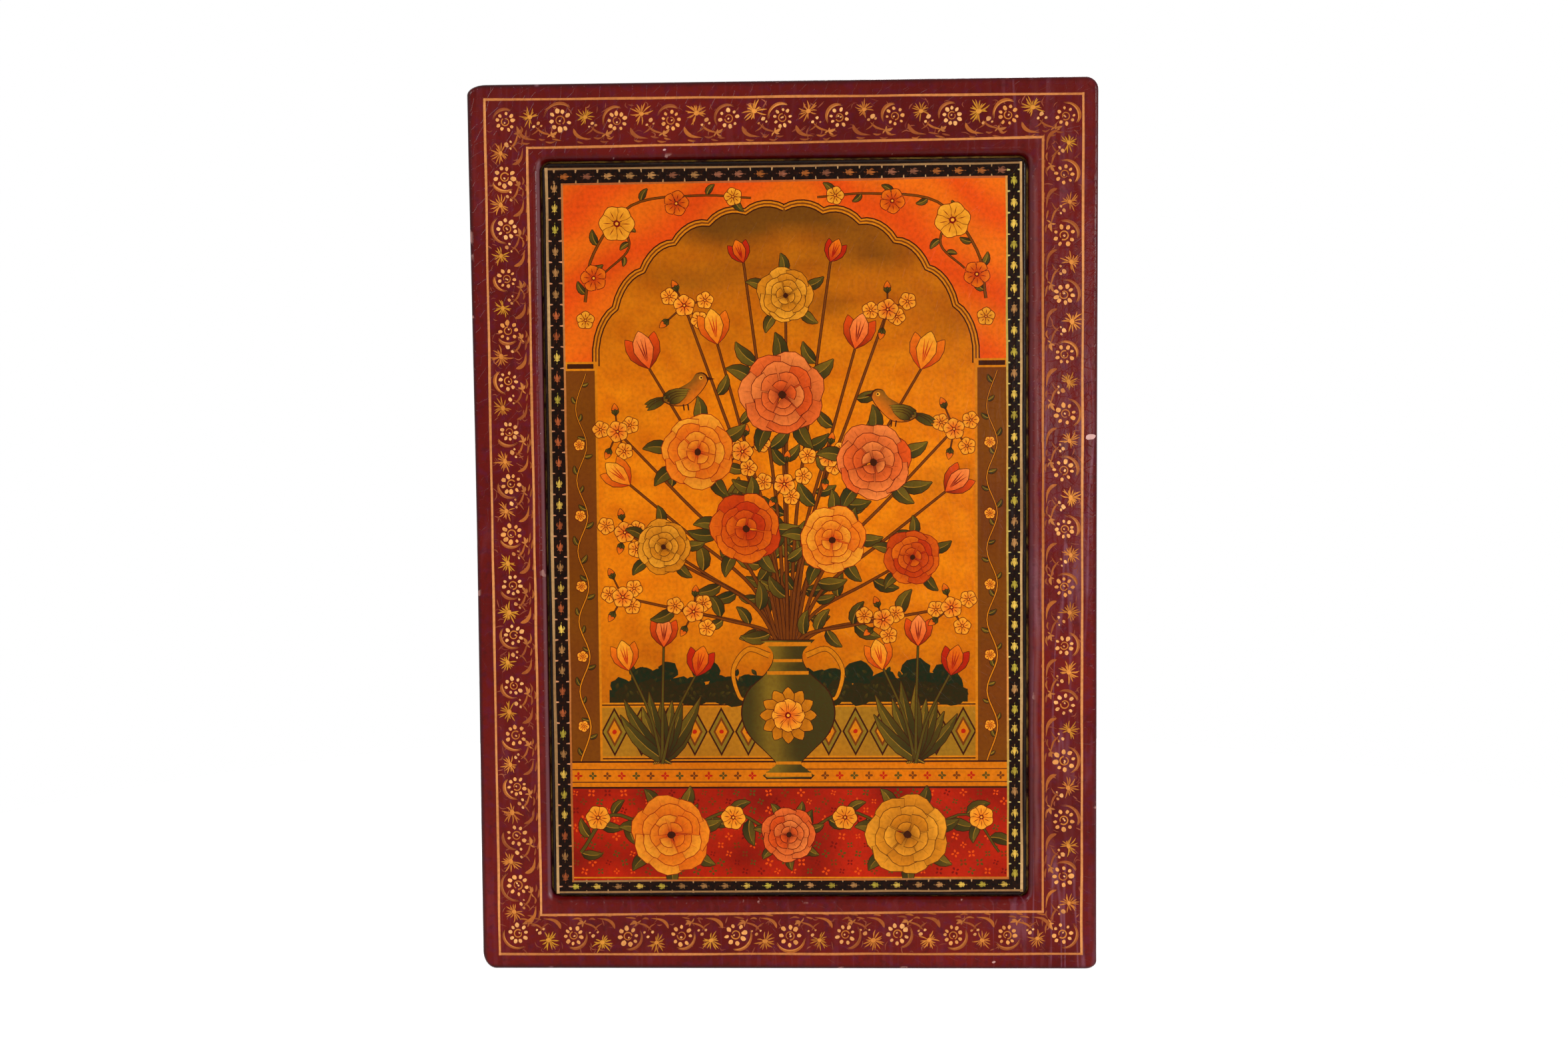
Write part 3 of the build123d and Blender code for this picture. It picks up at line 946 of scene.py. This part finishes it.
def side_plant(paint, x, base, rng):
    """Low clump of long leaves and three flowers beside the vase."""
    for k in range(9):
        angle = TAU / 4 + (k - 4) * 0.20
        leaf(paint, x + (k - 4) * 0.8, base, angle, rng.uniform(19, 29), 4.6, rng, -0.25 * (k - 4) / 4)
    for offset, height, kind in ((-11, 33, 1), (1, 41, 0), (12, 31, 2)):
        points = [(x, base), (x + offset * 0.35, base + height * 0.5), (x + offset, base + height)]
        stem(paint, points, 0.9, GREEN)
        tulip(paint, x + offset, base + height - 1, TAU / 4 - offset * 0.02, 10.5, ROSE_TONES[kind])


def red_field(paint, rng):
    """Red lower field with a fine diaper, three peonies and a garland."""
    left, right, bottom, _ = PICTURE
    top = LEDGE[0]
    paint.bar(left, right, bottom, top, red_ground)
    diaper(paint, left, right, bottom + 2, top, 5.4, (RED_DEEP, BROWN, ORANGE_RED, GREEN), rng)
    paint.bar(left, right, bottom + 1.0, bottom + 1.5, TAN)
    middle = (bottom + top) / 2
    garland = ((left + 3, -6), (left + 14, 7), (left + 34, 0), (PICTURE_AXIS - 20, 8), (PICTURE_AXIS, -1),
               (PICTURE_AXIS + 20, 8), (right - 34, 0), (right - 14, 7), (right - 3, -6))
    points = [(x, middle + rise) for x, rise in garland]
    leafy_stem(paint, points, 1.0, 9.0, rng, 0.0, 2, GREEN)
    for x, radius, kind in ((left + 34, 14.0, 1), (right - 34, 14.0, 3), (PICTURE_AXIS, 9.5, 0)):
        for k in range(7):
            angle = k * TAU / 7 + 0.3
            leaf(paint, *polar(x, middle, radius * 0.7, angle), angle, radius * 0.62, radius * 0.3, rng)
        rose(paint, x, middle, radius, ROSE_TONES[kind], rng)
    for x in (left + 9, right - 9, PICTURE_AXIS - 19, PICTURE_AXIS + 19):
        blossom(paint, x, middle + 6, 4.2, ORANGE_FLOWER, rng, 6)


def picture(paint):
    """Vase of flowers in an arched niche, over a red lower field."""
    rng = random.Random(33)
    left, right, bottom, top = PICTURE
    spacing = 3.0
    columns = int((right - left) / spacing)
    rows = int((top - bottom) / spacing)
    paint.stitch([(left + (i + 0.5) * spacing, bottom + (j + 0.5) * spacing)
                  for i in range(columns) for j in range(rows)])
    paint.bar(left, right, bottom, top, painted_ground)
    dado(paint, rng)
    shrubs(paint, rng)
    ledge(paint, rng)
    red_field(paint, rng)
    for side in (-1, 1):
        side_plant(paint, PICTURE_AXIS + side * 43, LEDGE[1] - 1, rng)
    spandrels(paint, rng)
    pilaster(paint, left, NICHE[0], rng)
    pilaster(paint, NICHE[1], right, rng)
    bouquet(paint, PICTURE_AXIS, VASE_BASE + VASE_HEIGHT, rng)
    vase(paint, PICTURE_AXIS, VASE_BASE, rng)
    bird(paint, -34, 196, 15, 1)
    bird(paint, 38, 190, 15, -1)


# Top, right, bottom and left of the black band: tones, scale, width and dimness of the florets,
# the tone of the ticks, the outer rule's width, and the two tones of each of its rules
BAND_SIDES = (
    ((FLORET_TAN, FLORET_PINK, GOLD_DULL), 0.90, 1.1, 0.35,
     TICK_TAN, 0.65, (RULE_TAN, RULE_TAN), (GOLD_DULL, FLORET_RUST)),
    ((FLORET_YELLOW, FLORET_YELLOW, FLORET_TAN, FLORET_OLIVE), 0.92, 1.3, 0.25,
     TICK_PALE, 0.85, (RULE_TAN, RULE_PALE), (RULE_OLIVE, GOLD_RULE)),
    ((FLORET_OLIVE, FLORET_TAN, FLORET_YELLOW), 0.75, 1.1, 0.55,
     TICK_TAN, 0.65, (RULE_TAN, RULE_TAN), (RULE_TAN, GOLD_DULL)),
    ((FLORET_TAN, FLORET_RUST, FLORET_OLIVE, FLORET_RUST, FLORET_YELLOW), 0.88, 1.15, 0.45,
     TICK_ROSE, 0.95, (RULE_TAN, RULE_PALE), (GOLD_DULL, FLORET_TAN)),
)


def floret(band, middle, tones, scale, width, dimness, rng):
    """Small flower of a few dabs in one cell of the black band."""
    tone = mix(rng.choice(tones), BLACK_SOFT, rng.random() * dimness)
    dim = mix(tone, BLACK_SOFT, 0.35)

    def dab(points, breadth, shade, steps=3):
        placed = [(middle + s * scale, t * scale) for s, t in points]
        band.stroke(placed, swell(breadth, 0.4), shade, steps)

    dab([(-1.6, 0), (-0.2, rng.uniform(-0.15, 0.15)), (1.9, rng.uniform(-0.2, 0.2))],
        width * rng.uniform(0.85, 1.15), tone)
    for side in (-1, 1):
        dab([(-0.9, side * 0.2), (0.3, side * rng.uniform(0.8, 1.1)), (1.2, side * 0.8)], 0.55, dim)
        if width < 1.5:
            dab([(-0.6, side * 0.1), (-rng.uniform(1.0, 1.6), side * rng.uniform(0.9, 1.2))], 0.5, dim, 2)
    dab([(2.0, 0.1), (2.8, -0.1)], 0.4, mix(dim, BLACK_SOFT, 0.4), 2)
    dab([(-1.8, -0.1), (-2.6, 0.1)], 0.35, mix(dim, BLACK_SOFT, 0.4), 2)


def cover_band(paint):
    """Black band with gold rules, ticks and florets round the picture."""
    rng = random.Random(21)
    (left, _, bottom), (right, _, top) = [[value / MM for value in corner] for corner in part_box("cover_face")]
    left += COVER_EDGE
    bottom += COVER_EDGE
    right -= COVER_EDGE
    top -= COVER_EDGE
    edge = [(left, top), (right, top), (right, bottom), (left, bottom)]
    inner = PANEL_INNER_RULE
    for k in range(4):
        following = (k + 1) % 4
        paint.shape([edge[k], edge[following], inner[following], inner[k]], BLACK_GROUND)
    for number, band in enumerate(band_sides(paint, PANEL_OUTER_RULE, PANEL_INNER_RULE)):
        tones, scale, width, dimness, tick, rule_width, outer_tones, inner_tones = BAND_SIDES[number]
        for start, middle, _ in band.repeats(34 if number % 2 else 21):
            floret(band, middle + rng.uniform(-0.3, 0.3), tones, scale, width, dimness, rng)
            for side in (-1, 1):
                end = side * rng.uniform(1.0, 1.35)
                shade = mix(tick, BLACK_SOFT, rng.random() * dimness)
                line = [(start, side * 2.3), (start + rng.uniform(-0.15, 0.15), end)]
                band.stroke(line, taper(rng.uniform(0.5, 0.75), 0.5), shade, 2)
        following = (number + 1) % 4
        for rule, breadth, shade in ((PANEL_OUTER_RULE, rule_width, drifting(*outer_tones, number)),
                                     (PANEL_INNER_RULE, 0.65, drifting(*inner_tones, number + 9))):
            ruled_line(paint, rule[number], rule[following], breadth, shade, rng)


def cover_painting():
    """Whole painted face of the cover."""
    paint = Painting()
    picture(paint)
    cover_band(paint)
    return paint.build("cover_painting", COVER_Y - PAINT_LIFT)


def lobed_outline(x, z, reach_x, reach_z, lobes, depth):
    """Pointed oval with a scalloped edge."""
    outline = []
    steps = lobes * 6
    for k in range(steps):
        angle = TAU * k / steps
        swing = 1 - depth * (1 - abs(math.sin(lobes / 2 * angle + TAU / 4)))
        point = 1 + 0.16 * abs(math.sin(angle)) ** 6
        outline.append((x + reach_x * swing * math.cos(angle), z + reach_z * swing * point * math.sin(angle)))
    return outline


def medallion(paint, x, z, reach_x, reach_z, rng):
    """Lobed gold-edged medallion with a rosette and a wreath of leaves."""

    def on_oval(share, angle):
        return (x + reach_x * share * math.cos(angle), z + reach_z * share * math.sin(angle))

    paint.shape(lobed_outline(x, z, reach_x, reach_z, 12, 0.12), GOLD_RULE)
    paint.shape(lobed_outline(x, z, reach_x * 0.965, reach_z * 0.975, 12, 0.12), BLACK_SOFT)
    wreath = 12
    for k in range(wreath):
        angle = TAU * k / wreath
        leaf(paint, *on_oval(0.34, angle), angle, reach_x * 0.36, reach_x * 0.13, rng)
        blossom(paint, *on_oval(0.74, angle + 0.26), reach_x * 0.09, GOLD_FLOWER, rng)
    rose(paint, x, z, reach_x * 0.36, (RED_DEEP, RED, GOLD_RULE), rng)
    for side in (-1, 1):
        pendant_z = z + side * reach_z * 1.42
        paint.stroke([(x, z + side * reach_z * 1.16), (x, pendant_z)], taper(0.9, 1.0), GOLD_RULE, 2)
        for across, up, tone in ((0.26, 0.34, GOLD_RULE), (0.21, 0.29, BLACK_SOFT)):
            paint.shape(lobed_outline(x, pendant_z, reach_x * across, reach_x * up, 6, 0.18), tone)
        blossom(paint, x, pendant_z, reach_x * 0.15, GOLD_FLOWER, rng, 6)


def corner_sprays(paint, corners, size, rng):
    """Gold corner piece of leaves in each corner of a frame."""
    centre = sum((Vector(c) for c in corners), Vector((0, 0))) / 4
    for corner in corners:
        side_x = 1 if corner[0] < centre.x else -1
        side_z = 1 if corner[1] < centre.y else -1
        x = corner[0] + side_x * size * 0.3
        z = corner[1] + side_z * size * 0.3
        for along, across in ((1.0, 0.0), (0.72, 0.38), (0.38, 0.72), (0.0, 1.0)):
            angle = math.atan2(side_z * across, side_x * along)
            petal(paint, x, z, angle, size, size * 0.2, GOLD_DULL, GOLD_RULE, GOLD_FAINT, 1.1)
        blossom(paint, x, z, size * 0.26, (RED_DEEP, GOLD_DULL, GOLD_BRIGHT), rng, 6)


def plain_frame(middle, half_width, bottom, top):
    """Corners of an upright frame, from the top left clockwise."""
    left = middle - half_width
    right = middle + half_width
    return ((left, top), (right, top), (right, bottom), (left, bottom))


def hidden_painting(name, depth, seed, rule_width, outer, inner, counts, centre, reach, spray):
    """Painting that faces backwards: two gold frames round a medallion and four corner sprays.

    Where counts are given, so many rosettes and starbursts fill each side between the frames.
    """
    rng = random.Random(seed)
    paint = Painting()
    for corners in (outer, inner):
        ruled_frame(paint, corners, rule_width, (GOLD_RULE,) * 4, rng)
    for band, count in zip(band_sides(paint, outer, inner), counts):
        for start, middle, _ in band.repeats(count):
            rosette(band, start, 0.0, 2.4, rng)
            starburst(band, middle, 0.0, 2.3, rng)
    medallion(paint, *centre, *reach, rng)
    corner_sprays(paint, inner, spray, rng)
    return paint.build(name, depth + PAINT_LIFT, faces_front=False)


def back_painting():
    """Painting on the back board."""
    return hidden_painting(
        "back_painting", BACK_Y, seed=5, rule_width=RULE_WIDTH,
        outer=plain_frame(0.0, 98.5, 6.0, 294.0), inner=plain_frame(0.0, 88.0, 16.5, 283.5),
        counts=(11, 16, 11, 16), centre=(0.0, 150.0), reach=(44.0, 62.0), spray=26.0)


def lining_painting():
    """Painting on the cover's inner side, which is a little off the case's middle."""
    middle = -0.5
    return hidden_painting(
        "lining_painting", LINING_Y, seed=6, rule_width=0.7,
        outer=plain_frame(middle, 77.0, 29.5, 269.5), inner=plain_frame(middle, 72.5, 34.0, 265.0),
        counts=(), centre=(middle, 149.6), reach=(36.0, 52.0), spray=22.0)


class Nodes:
    """Short way to write a material's node tree."""

    def __init__(self, name):
        self.material = bpy.data.materials.new(name)
        self.material.use_nodes = True
        self.tree = self.material.node_tree
        self.shader = self.tree.nodes["Principled BSDF"]
        self.place = self.add("ShaderNodeTexCoord").outputs["Object"]

    def add(self, kind, **settings):
        """New node with its settings."""
        node = self.tree.nodes.new(kind)
        for key, value in settings.items():
            setattr(node, key, value)
        return node

    def feed(self, socket, value):
        """Link an output or set a number or colour on a socket."""
        if isinstance(value, bpy.types.NodeSocket):
            self.tree.links.new(value, socket)
        elif isinstance(value, tuple) and len(value) == 3 and socket.type == "RGBA":
            socket.default_value = (*value, 1.0)
        else:
            socket.default_value = value

    def noise(self, scale, detail=3.0, stretch=(1, 1, 1), offset=(0, 0, 0)):
        """Noise from 0 to 1, where scale is in features per metre."""
        mapping = self.add("ShaderNodeMapping")
        self.feed(mapping.inputs["Vector"], self.place)
        mapping.inputs["Scale"].default_value = stretch
        mapping.inputs["Location"].default_value = offset
        texture = self.add("ShaderNodeTexNoise")
        self.feed(texture.inputs["Vector"], mapping.outputs["Vector"])
        texture.inputs["Scale"].default_value = scale
        texture.inputs["Detail"].default_value = detail
        return texture.outputs["Fac"]

    def cracks(self, scale):
        """Distance from the nearest line of a fine network of cracks."""
        texture = self.add("ShaderNodeTexVoronoi", feature="DISTANCE_TO_EDGE")
        self.feed(texture.inputs["Vector"], self.place)
        texture.inputs["Scale"].default_value = scale
        return texture.outputs["Distance"]

    def remap(self, value, low, high, to_low=0.0, to_high=1.0):
        """Value taken from one range to another and held inside it."""
        node = self.add("ShaderNodeMapRange")
        self.feed(node.inputs["Value"], value)
        limits = {"From Min": low, "From Max": high, "To Min": to_low, "To Max": to_high}
        for key, limit in limits.items():
            node.inputs[key].default_value = limit
        return node.outputs["Result"]

    def math(self, operation, first, second=0.0):
        """One sum."""
        node = self.add("ShaderNodeMath", operation=operation)
        self.feed(node.inputs[0], first)
        self.feed(node.inputs[1], second)
        return node.outputs[0]

    def blend(self, share, first, second, mode="MIX"):
        """Colour between two others."""
        node = self.add("ShaderNodeMix", data_type="RGBA", blend_type=mode)
        self.feed(node.inputs["Factor"], share)
        self.feed(node.inputs["A"], first)
        self.feed(node.inputs["B"], second)
        return node.outputs["Result"]

    def patches(self, scale, detail, low, high, to_low=0.0, to_high=1.0, **layout):
        """Noise taken from one range to another, which leaves soft patches."""
        return self.remap(self.noise(scale, detail, **layout), low, high, to_low, to_high)

    def tint(self, colour, tone, *shares):
        """Colour with a tone laid over it by the product of some shares."""
        share = shares[0]
        for factor in shares[1:]:
            share = self.math("MULTIPLY", share, factor)
        return self.blend(share, colour, tone)

    def off(self, value, middle):
        """How far a value is from a middle one, on either side."""
        return self.math("ABSOLUTE", self.math("SUBTRACT", value, middle))

    def edge_mask(self):
        """0 on flat faces that are square to an axis, rising over rounded edges."""
        split = self.add("ShaderNodeSeparateXYZ")
        self.feed(split.inputs[0], self.add("ShaderNodeNewGeometry").outputs["Normal"])
        sizes = [self.math("ABSOLUTE", split.outputs[k]) for k in range(3)]
        largest = self.math("MAXIMUM", self.math("MAXIMUM", sizes[0], sizes[1]), sizes[2])
        return self.remap(self.math("SUBTRACT", 1.0, largest), 0.01, 0.16)

    def bump(self, height, strength, distance):
        """Normal bent by a height."""
        node = self.add("ShaderNodeBump")
        self.feed(node.inputs["Height"], height)
        node.inputs["Strength"].default_value = strength
        node.inputs["Distance"].default_value = distance
        self.feed(self.shader.inputs["Normal"], node.outputs["Normal"])

    def finish(self, **values):
        """Set the shader's own sockets and hand over the material."""
        for key, value in values.items():
            self.feed(self.shader.inputs[key.replace("_", " ")], value)
        return self.material


def varnish_relief(nodes):
    """Height of old varnish: soft waves and runs down it, fine grain and hair cracks."""
    waves = nodes.math("MULTIPLY", nodes.noise(90, 2, (1, 1, 0.4)), 0.5)
    runs = nodes.math("MULTIPLY", nodes.noise(330, 2, (1, 1, 0.10)), 0.24)
    grain = nodes.math("MULTIPLY", nodes.noise(900, 3), 0.07)
    cracks = nodes.remap(nodes.cracks(260), 0.0, 0.03, 0.0, 0.05)
    return nodes.math("ADD", nodes.math("ADD", waves, runs), nodes.math("ADD", grain, cracks))


def maroon_lacquer():
    """Maroon lacquer, clouded, with worn streaks and painted sheen most of all on the right, edges darkened by
    painted shade, painted highlights beside the recess, and chips.
    """
    nodes = Nodes("maroon_lacquer_finish")
    split = nodes.add("ShaderNodeSeparateXYZ")
    nodes.feed(split.inputs[0], nodes.place)
    x, y, z = split.outputs
    colour = nodes.blend(nodes.patches(26, 5, 0.32, 0.68), srgb(85, 8, 4), srgb(105, 17, 9))
    purple = nodes.patches(330, 3, 0.50, 0.66, 0.0, 0.42, offset=(1, 7, 4))
    colour = nodes.tint(colour, srgb(84, 18, 46), purple)

    # Hairs and broken runs of worn varnish, partly painted sheen, both stronger towards the right
    rubbed = nodes.remap(x, 0.05, 0.09, 0.10, 0.65)
    hairs = nodes.patches(340, 4, 0.50, 0.72, 0.0, 0.35, stretch=(1, 1, 0.08))
    colour = nodes.tint(colour, srgb(118, 62, 68), hairs, rubbed)
    runs = nodes.remap(nodes.off(nodes.noise(130, 2, (1, 1, 0.06)), 0.5), 0.003, 0.030, 1.0, 0.0)
    breaks = nodes.patches(45, 3, 0.40, 0.60, offset=(6, 2, 8))
    colour = nodes.tint(colour, srgb(124, 70, 82), runs, breaks, rubbed)

    # Dark specks, a darker top and painted shade along the outer rim, stronger on the left
    specks = nodes.patches(500, 5, 0.52, 0.75, offset=(2, 5, 1))
    colour = nodes.tint(colour, srgb(54, 8, 8), specks, 0.45)
    colour = nodes.tint(colour, srgb(74, 6, 3), nodes.remap(z, 0.22, 0.30, 0.0, 0.25))
    off_middle = nodes.off(z, HALF_HEIGHT)
    beyond_x = nodes.math("SUBTRACT", nodes.math("ABSOLUTE", x), HALF_WIDTH)
    beyond_z = nodes.math("SUBTRACT", off_middle, HALF_HEIGHT)
    rim = nodes.remap(nodes.math("MAXIMUM", beyond_x, beyond_z), -0.0020, -0.0004)
    colour = nodes.tint(colour, srgb(28, 8, 10), rim, nodes.remap(x, 0.0, 0.1, 0.75, 0.35))

    # Painted sheen: a pale streak on the front, beside the right edge of the recess
    front = nodes.remap(y, -0.0089, -0.0085, 1.0, 0.0)
    wavering = nodes.math("ADD", x, nodes.patches(60, 2, 0, 1, -0.0012, 0.0012))
    streak = nodes.remap(nodes.off(wavering, 0.0843), 0.0002, 0.0012, 0.22, 0.0)
    beside_recess = nodes.remap(off_middle, 0.112, 0.124, 1.0, 0.0)
    colour = nodes.tint(colour, srgb(150, 108, 106), front, streak, beside_recess)

    # Rounded edges: a little darker with painted shade, a painted highlight along both sides of the recess, and
    # chips
    edge = nodes.edge_mask()
    colour = nodes.tint(colour, srgb(44, 12, 12), edge, 0.25)
    for middle, strength in ((-0.0814, 0.50), (0.0827, 0.18)):
        recess_rim_highlight = nodes.remap(nodes.off(x, middle), 0.0002, 0.0010, strength, 0.0)
        colour = nodes.tint(colour, srgb(146, 104, 110), recess_rim_highlight, edge)
    chips = nodes.patches(190, 3, 0.69, 0.72, offset=(3, 1, 7))
    colour = nodes.tint(colour, srgb(158, 112, 104), chips, edge)
    nodes.bump(varnish_relief(nodes), 0.6, 0.001)
    roughness = nodes.patches(60, 4, 0.3, 0.7, 0.14, 0.26)
    return nodes.finish(Base_Color=colour, Roughness=roughness, Specular_IOR_Level=0.10)


def dark_lacquer(name, ground, rub):
    """Near-black lacquer with brown rubs on its edges."""
    nodes = Nodes(name)
    colour = nodes.blend(nodes.patches(60, 4, 0.4, 0.7), ground, mix(ground, rub, 0.35))
    colour = nodes.tint(colour, rub, nodes.patches(240, 3, 0.55, 0.7), nodes.edge_mask())
    nodes.bump(varnish_relief(nodes), 0.4, 0.001)
    roughness = nodes.patches(70, 3, 0.3, 0.7, 0.12, 0.24)
    return nodes.finish(Base_Color=colour, Roughness=roughness, Specular_IOR_Level=0.12)


def painted_sheet(name):
    """Paint under varnish, in the colours of the mesh, with a little grime and fading."""
    nodes = Nodes(name)
    colour = nodes.add("ShaderNodeVertexColor", layer_name="Paint").outputs["Color"]
    fading = nodes.math("MULTIPLY", nodes.patches(45, 4, 0.35, 0.7), 0.25)
    colour = nodes.blend(fading, colour, srgb(170, 100, 30), "MULTIPLY")
    colour = nodes.tint(colour, srgb(70, 28, 5), nodes.patches(800, 5, 0.42, 0.75), 0.28)
    nodes.bump(varnish_relief(nodes), 0.4, 0.001)
    roughness = nodes.patches(80, 3, 0.3, 0.7, 0.14, 0.26)
    return nodes.finish(Base_Color=colour, Roughness=roughness, Specular_IOR_Level=0.05)


def pasteboard():
    """Layered brown pasteboard with a fibrous grain."""
    nodes = Nodes("pasteboard_finish")
    fibres = nodes.noise(500, 4, (1, 0.3, 0.25))
    colour = nodes.blend(nodes.remap(fibres, 0.3, 0.7), srgb(136, 108, 76), srgb(176, 148, 112))
    nodes.bump(fibres, 0.3, 0.0004)
    return nodes.finish(Base_Color=colour, Roughness=0.85)


def gilded_slip():
    """Thin gilding, rubbed through to its red ground."""
    nodes = Nodes("gilded_slip_finish")
    rubs = nodes.patches(210, 5, 0.52, 0.66)
    colour = nodes.blend(rubs, srgb(206, 156, 70), srgb(140, 62, 30))
    nodes.bump(nodes.noise(600, 3), 0.2, 0.0004)
    roughness = nodes.patches(150, 3, 0.3, 0.7, 0.28, 0.5)
    return nodes.finish(Base_Color=colour, Roughness=roughness, Metallic=nodes.remap(rubs, 0, 1, 0.85, 0.1))


def mirror_glass():
    """Old greenish glass with a faint ripple."""
    nodes = Nodes("mirror_glass_finish")
    nodes.bump(nodes.noise(30, 2), 0.05, 0.0008)
    return nodes.finish(Base_Color=srgb(236, 244, 238), Roughness=0.02, Transmission_Weight=1.0, IOR=1.5)


def silvering():
    """Silver behind the glass, spotted with age."""
    nodes = Nodes("silvering_finish")
    spots = nodes.patches(130, 5, 0.62, 0.70)
    colour = nodes.blend(spots, srgb(226, 226, 220), srgb(96, 88, 76))
    roughness = nodes.remap(spots, 0, 1, 0.04, 0.5)
    return nodes.finish(Base_Color=colour, Roughness=roughness, Metallic=1.0)


def felt_pad():
    """Brown felt."""
    nodes = Nodes("felt_finish")
    fuzz = nodes.noise(900, 4)
    colour = nodes.blend(fuzz, srgb(78, 58, 44), srgb(112, 86, 66))
    nodes.bump(fuzz, 0.5, 0.0006)
    return nodes.finish(Base_Color=colour, Roughness=0.95)


def seen_directly(tree):
    """1 for what the camera, mirrors and glass see, and 0 for the light that falls on things."""
    path = tree.nodes.new("ShaderNodeLightPath")
    seen = path.outputs["Is Camera Ray"]
    for ray in ("Is Glossy Ray", "Is Transmission Ray"):
        either = tree.nodes.new("ShaderNodeMath")
        either.operation = "MAXIMUM"
        tree.links.new(seen, either.inputs[0])
        tree.links.new(path.outputs[ray], either.inputs[1])
        seen = either.outputs[0]
    return seen


def white_stage(name):
    """White that the camera, mirrors and glass see as the photograph's plain background."""
    nodes = Nodes(name)
    glow = nodes.math("MULTIPLY", seen_directly(nodes.tree), 0.7)
    return nodes.finish(Base_Color=(0.9, 0.9, 0.9), Roughness=0.9, Specular_IOR_Level=0.0,
                        Emission_Color=(1.0, 1.0, 1.0), Emission_Strength=glow)


def floor():
    """Round white floor under the case."""
    bpy.ops.mesh.primitive_circle_add(vertices=96, radius=FLOOR_RADIUS, fill_type="NGON", location=(0, 0, 0))
    ground = bpy.context.object
    ground.name = "floor"
    ground.data.materials.append(white_stage("floor_white"))


def studio_world():
    """White behind the object for the camera, metal and glass, and dim even light for the rest."""
    world = bpy.data.worlds.new("studio")
    bpy.context.scene.world = world
    world.use_nodes = True
    tree = world.node_tree
    background = tree.nodes["Background"]
    background.inputs["Color"].default_value = (1, 1, 1, 1)
    strength = tree.nodes.new("ShaderNodeMapRange")
    tree.links.new(seen_directly(tree), strength.inputs["Value"])
    strength.inputs["To Min"].default_value = WORLD_LIGHT
    strength.inputs["To Max"].default_value = 1.0
    tree.links.new(strength.outputs["Result"], background.inputs["Strength"])


def soft_light(name, place, size, power):
    """Square soft box aimed at the middle of the case."""
    lamp = bpy.data.lights.new(name, "AREA")
    lamp.shape = "SQUARE"
    lamp.size = size
    lamp.energy = power
    holder = add_object(name, lamp)
    holder.location = place
    holder.rotation_euler = (Vector(LAMP_TARGET) - Vector(place)).to_track_quat("-Z", "Y").to_euler()


def camera():
    """Camera at the photograph's place."""
    across = Vector((math.cos(CAMERA_AZIMUTH), math.sin(CAMERA_AZIMUTH), 0))
    back = Vector((math.sin(CAMERA_AZIMUTH) * math.cos(CAMERA_ELEVATION),
                   -math.cos(CAMERA_AZIMUTH) * math.cos(CAMERA_ELEVATION), math.sin(CAMERA_ELEVATION)))
    up = back.cross(across)
    right = across * math.cos(CAMERA_ROLL) + up * math.sin(CAMERA_ROLL)
    top = up * math.cos(CAMERA_ROLL) - across * math.sin(CAMERA_ROLL)
    lens = bpy.data.cameras.new("camera")
    lens.lens = CAMERA_LENS
    lens.sensor_width = 36.0
    lens.clip_start = 0.01
    holder = add_object("camera", lens)
    holder.location = CAMERA_TARGET + back * CAMERA_DISTANCE
    holder.rotation_euler = Matrix((right, top, back)).transposed().to_euler()
    bpy.context.scene.camera = holder


def dress(slot_name, finish):
    """Give a finish to every CAD node of one material slot."""
    for entry in frame["record"]["subparts"]:
        if entry["material_slot"] == slot_name:
            frame["nodes"][entry["node"]].material_slots[0].material = finish


def press_silver_on_glass():
    """The silvering reaches a hair into the glass, so that no air shows between them."""
    swell_out = frame["nodes"]["mirror_silvering"].modifiers.new("press", "DISPLACE")
    swell_out.strength = SILVER_PRESS
    swell_out.mid_level = 0.0


def hang(piece, body, finish):
    """Put a painted sheet on a body."""
    piece.data.materials.append(finish)
    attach(piece, body)


dress("maroon_lacquer", maroon_lacquer())
dress("dark_lacquer", dark_lacquer("dark_lacquer_finish", srgb(30, 16, 12), srgb(96, 54, 34)))
dress("cover_lacquer", dark_lacquer("cover_lacquer_finish", srgb(18, 10, 8), srgb(50, 32, 24)))
dress("cover_lining", dark_lacquer("cover_lining_finish", srgb(86, 24, 16), srgb(130, 60, 40)))
dress("pasteboard", pasteboard())
dress("gilded_slip", gilded_slip())
dress("mirror_glass", mirror_glass())
dress("silvering", silvering())
dress("felt_pad", felt_pad())
press_silver_on_glass()

hang(frame_ornament(), "case", painted_sheet("frame_paint"))
hang(cover_painting(), "cover", painted_sheet("cover_paint"))
hang(back_painting(), "case", painted_sheet("back_paint"))
hang(lining_painting(), "cover", painted_sheet("lining_paint"))

floor()
studio_world()
for lamp_settings in LAMPS:
    soft_light(*lamp_settings)
camera()
bpy.context.scene.view_settings.view_transform = "Standard"
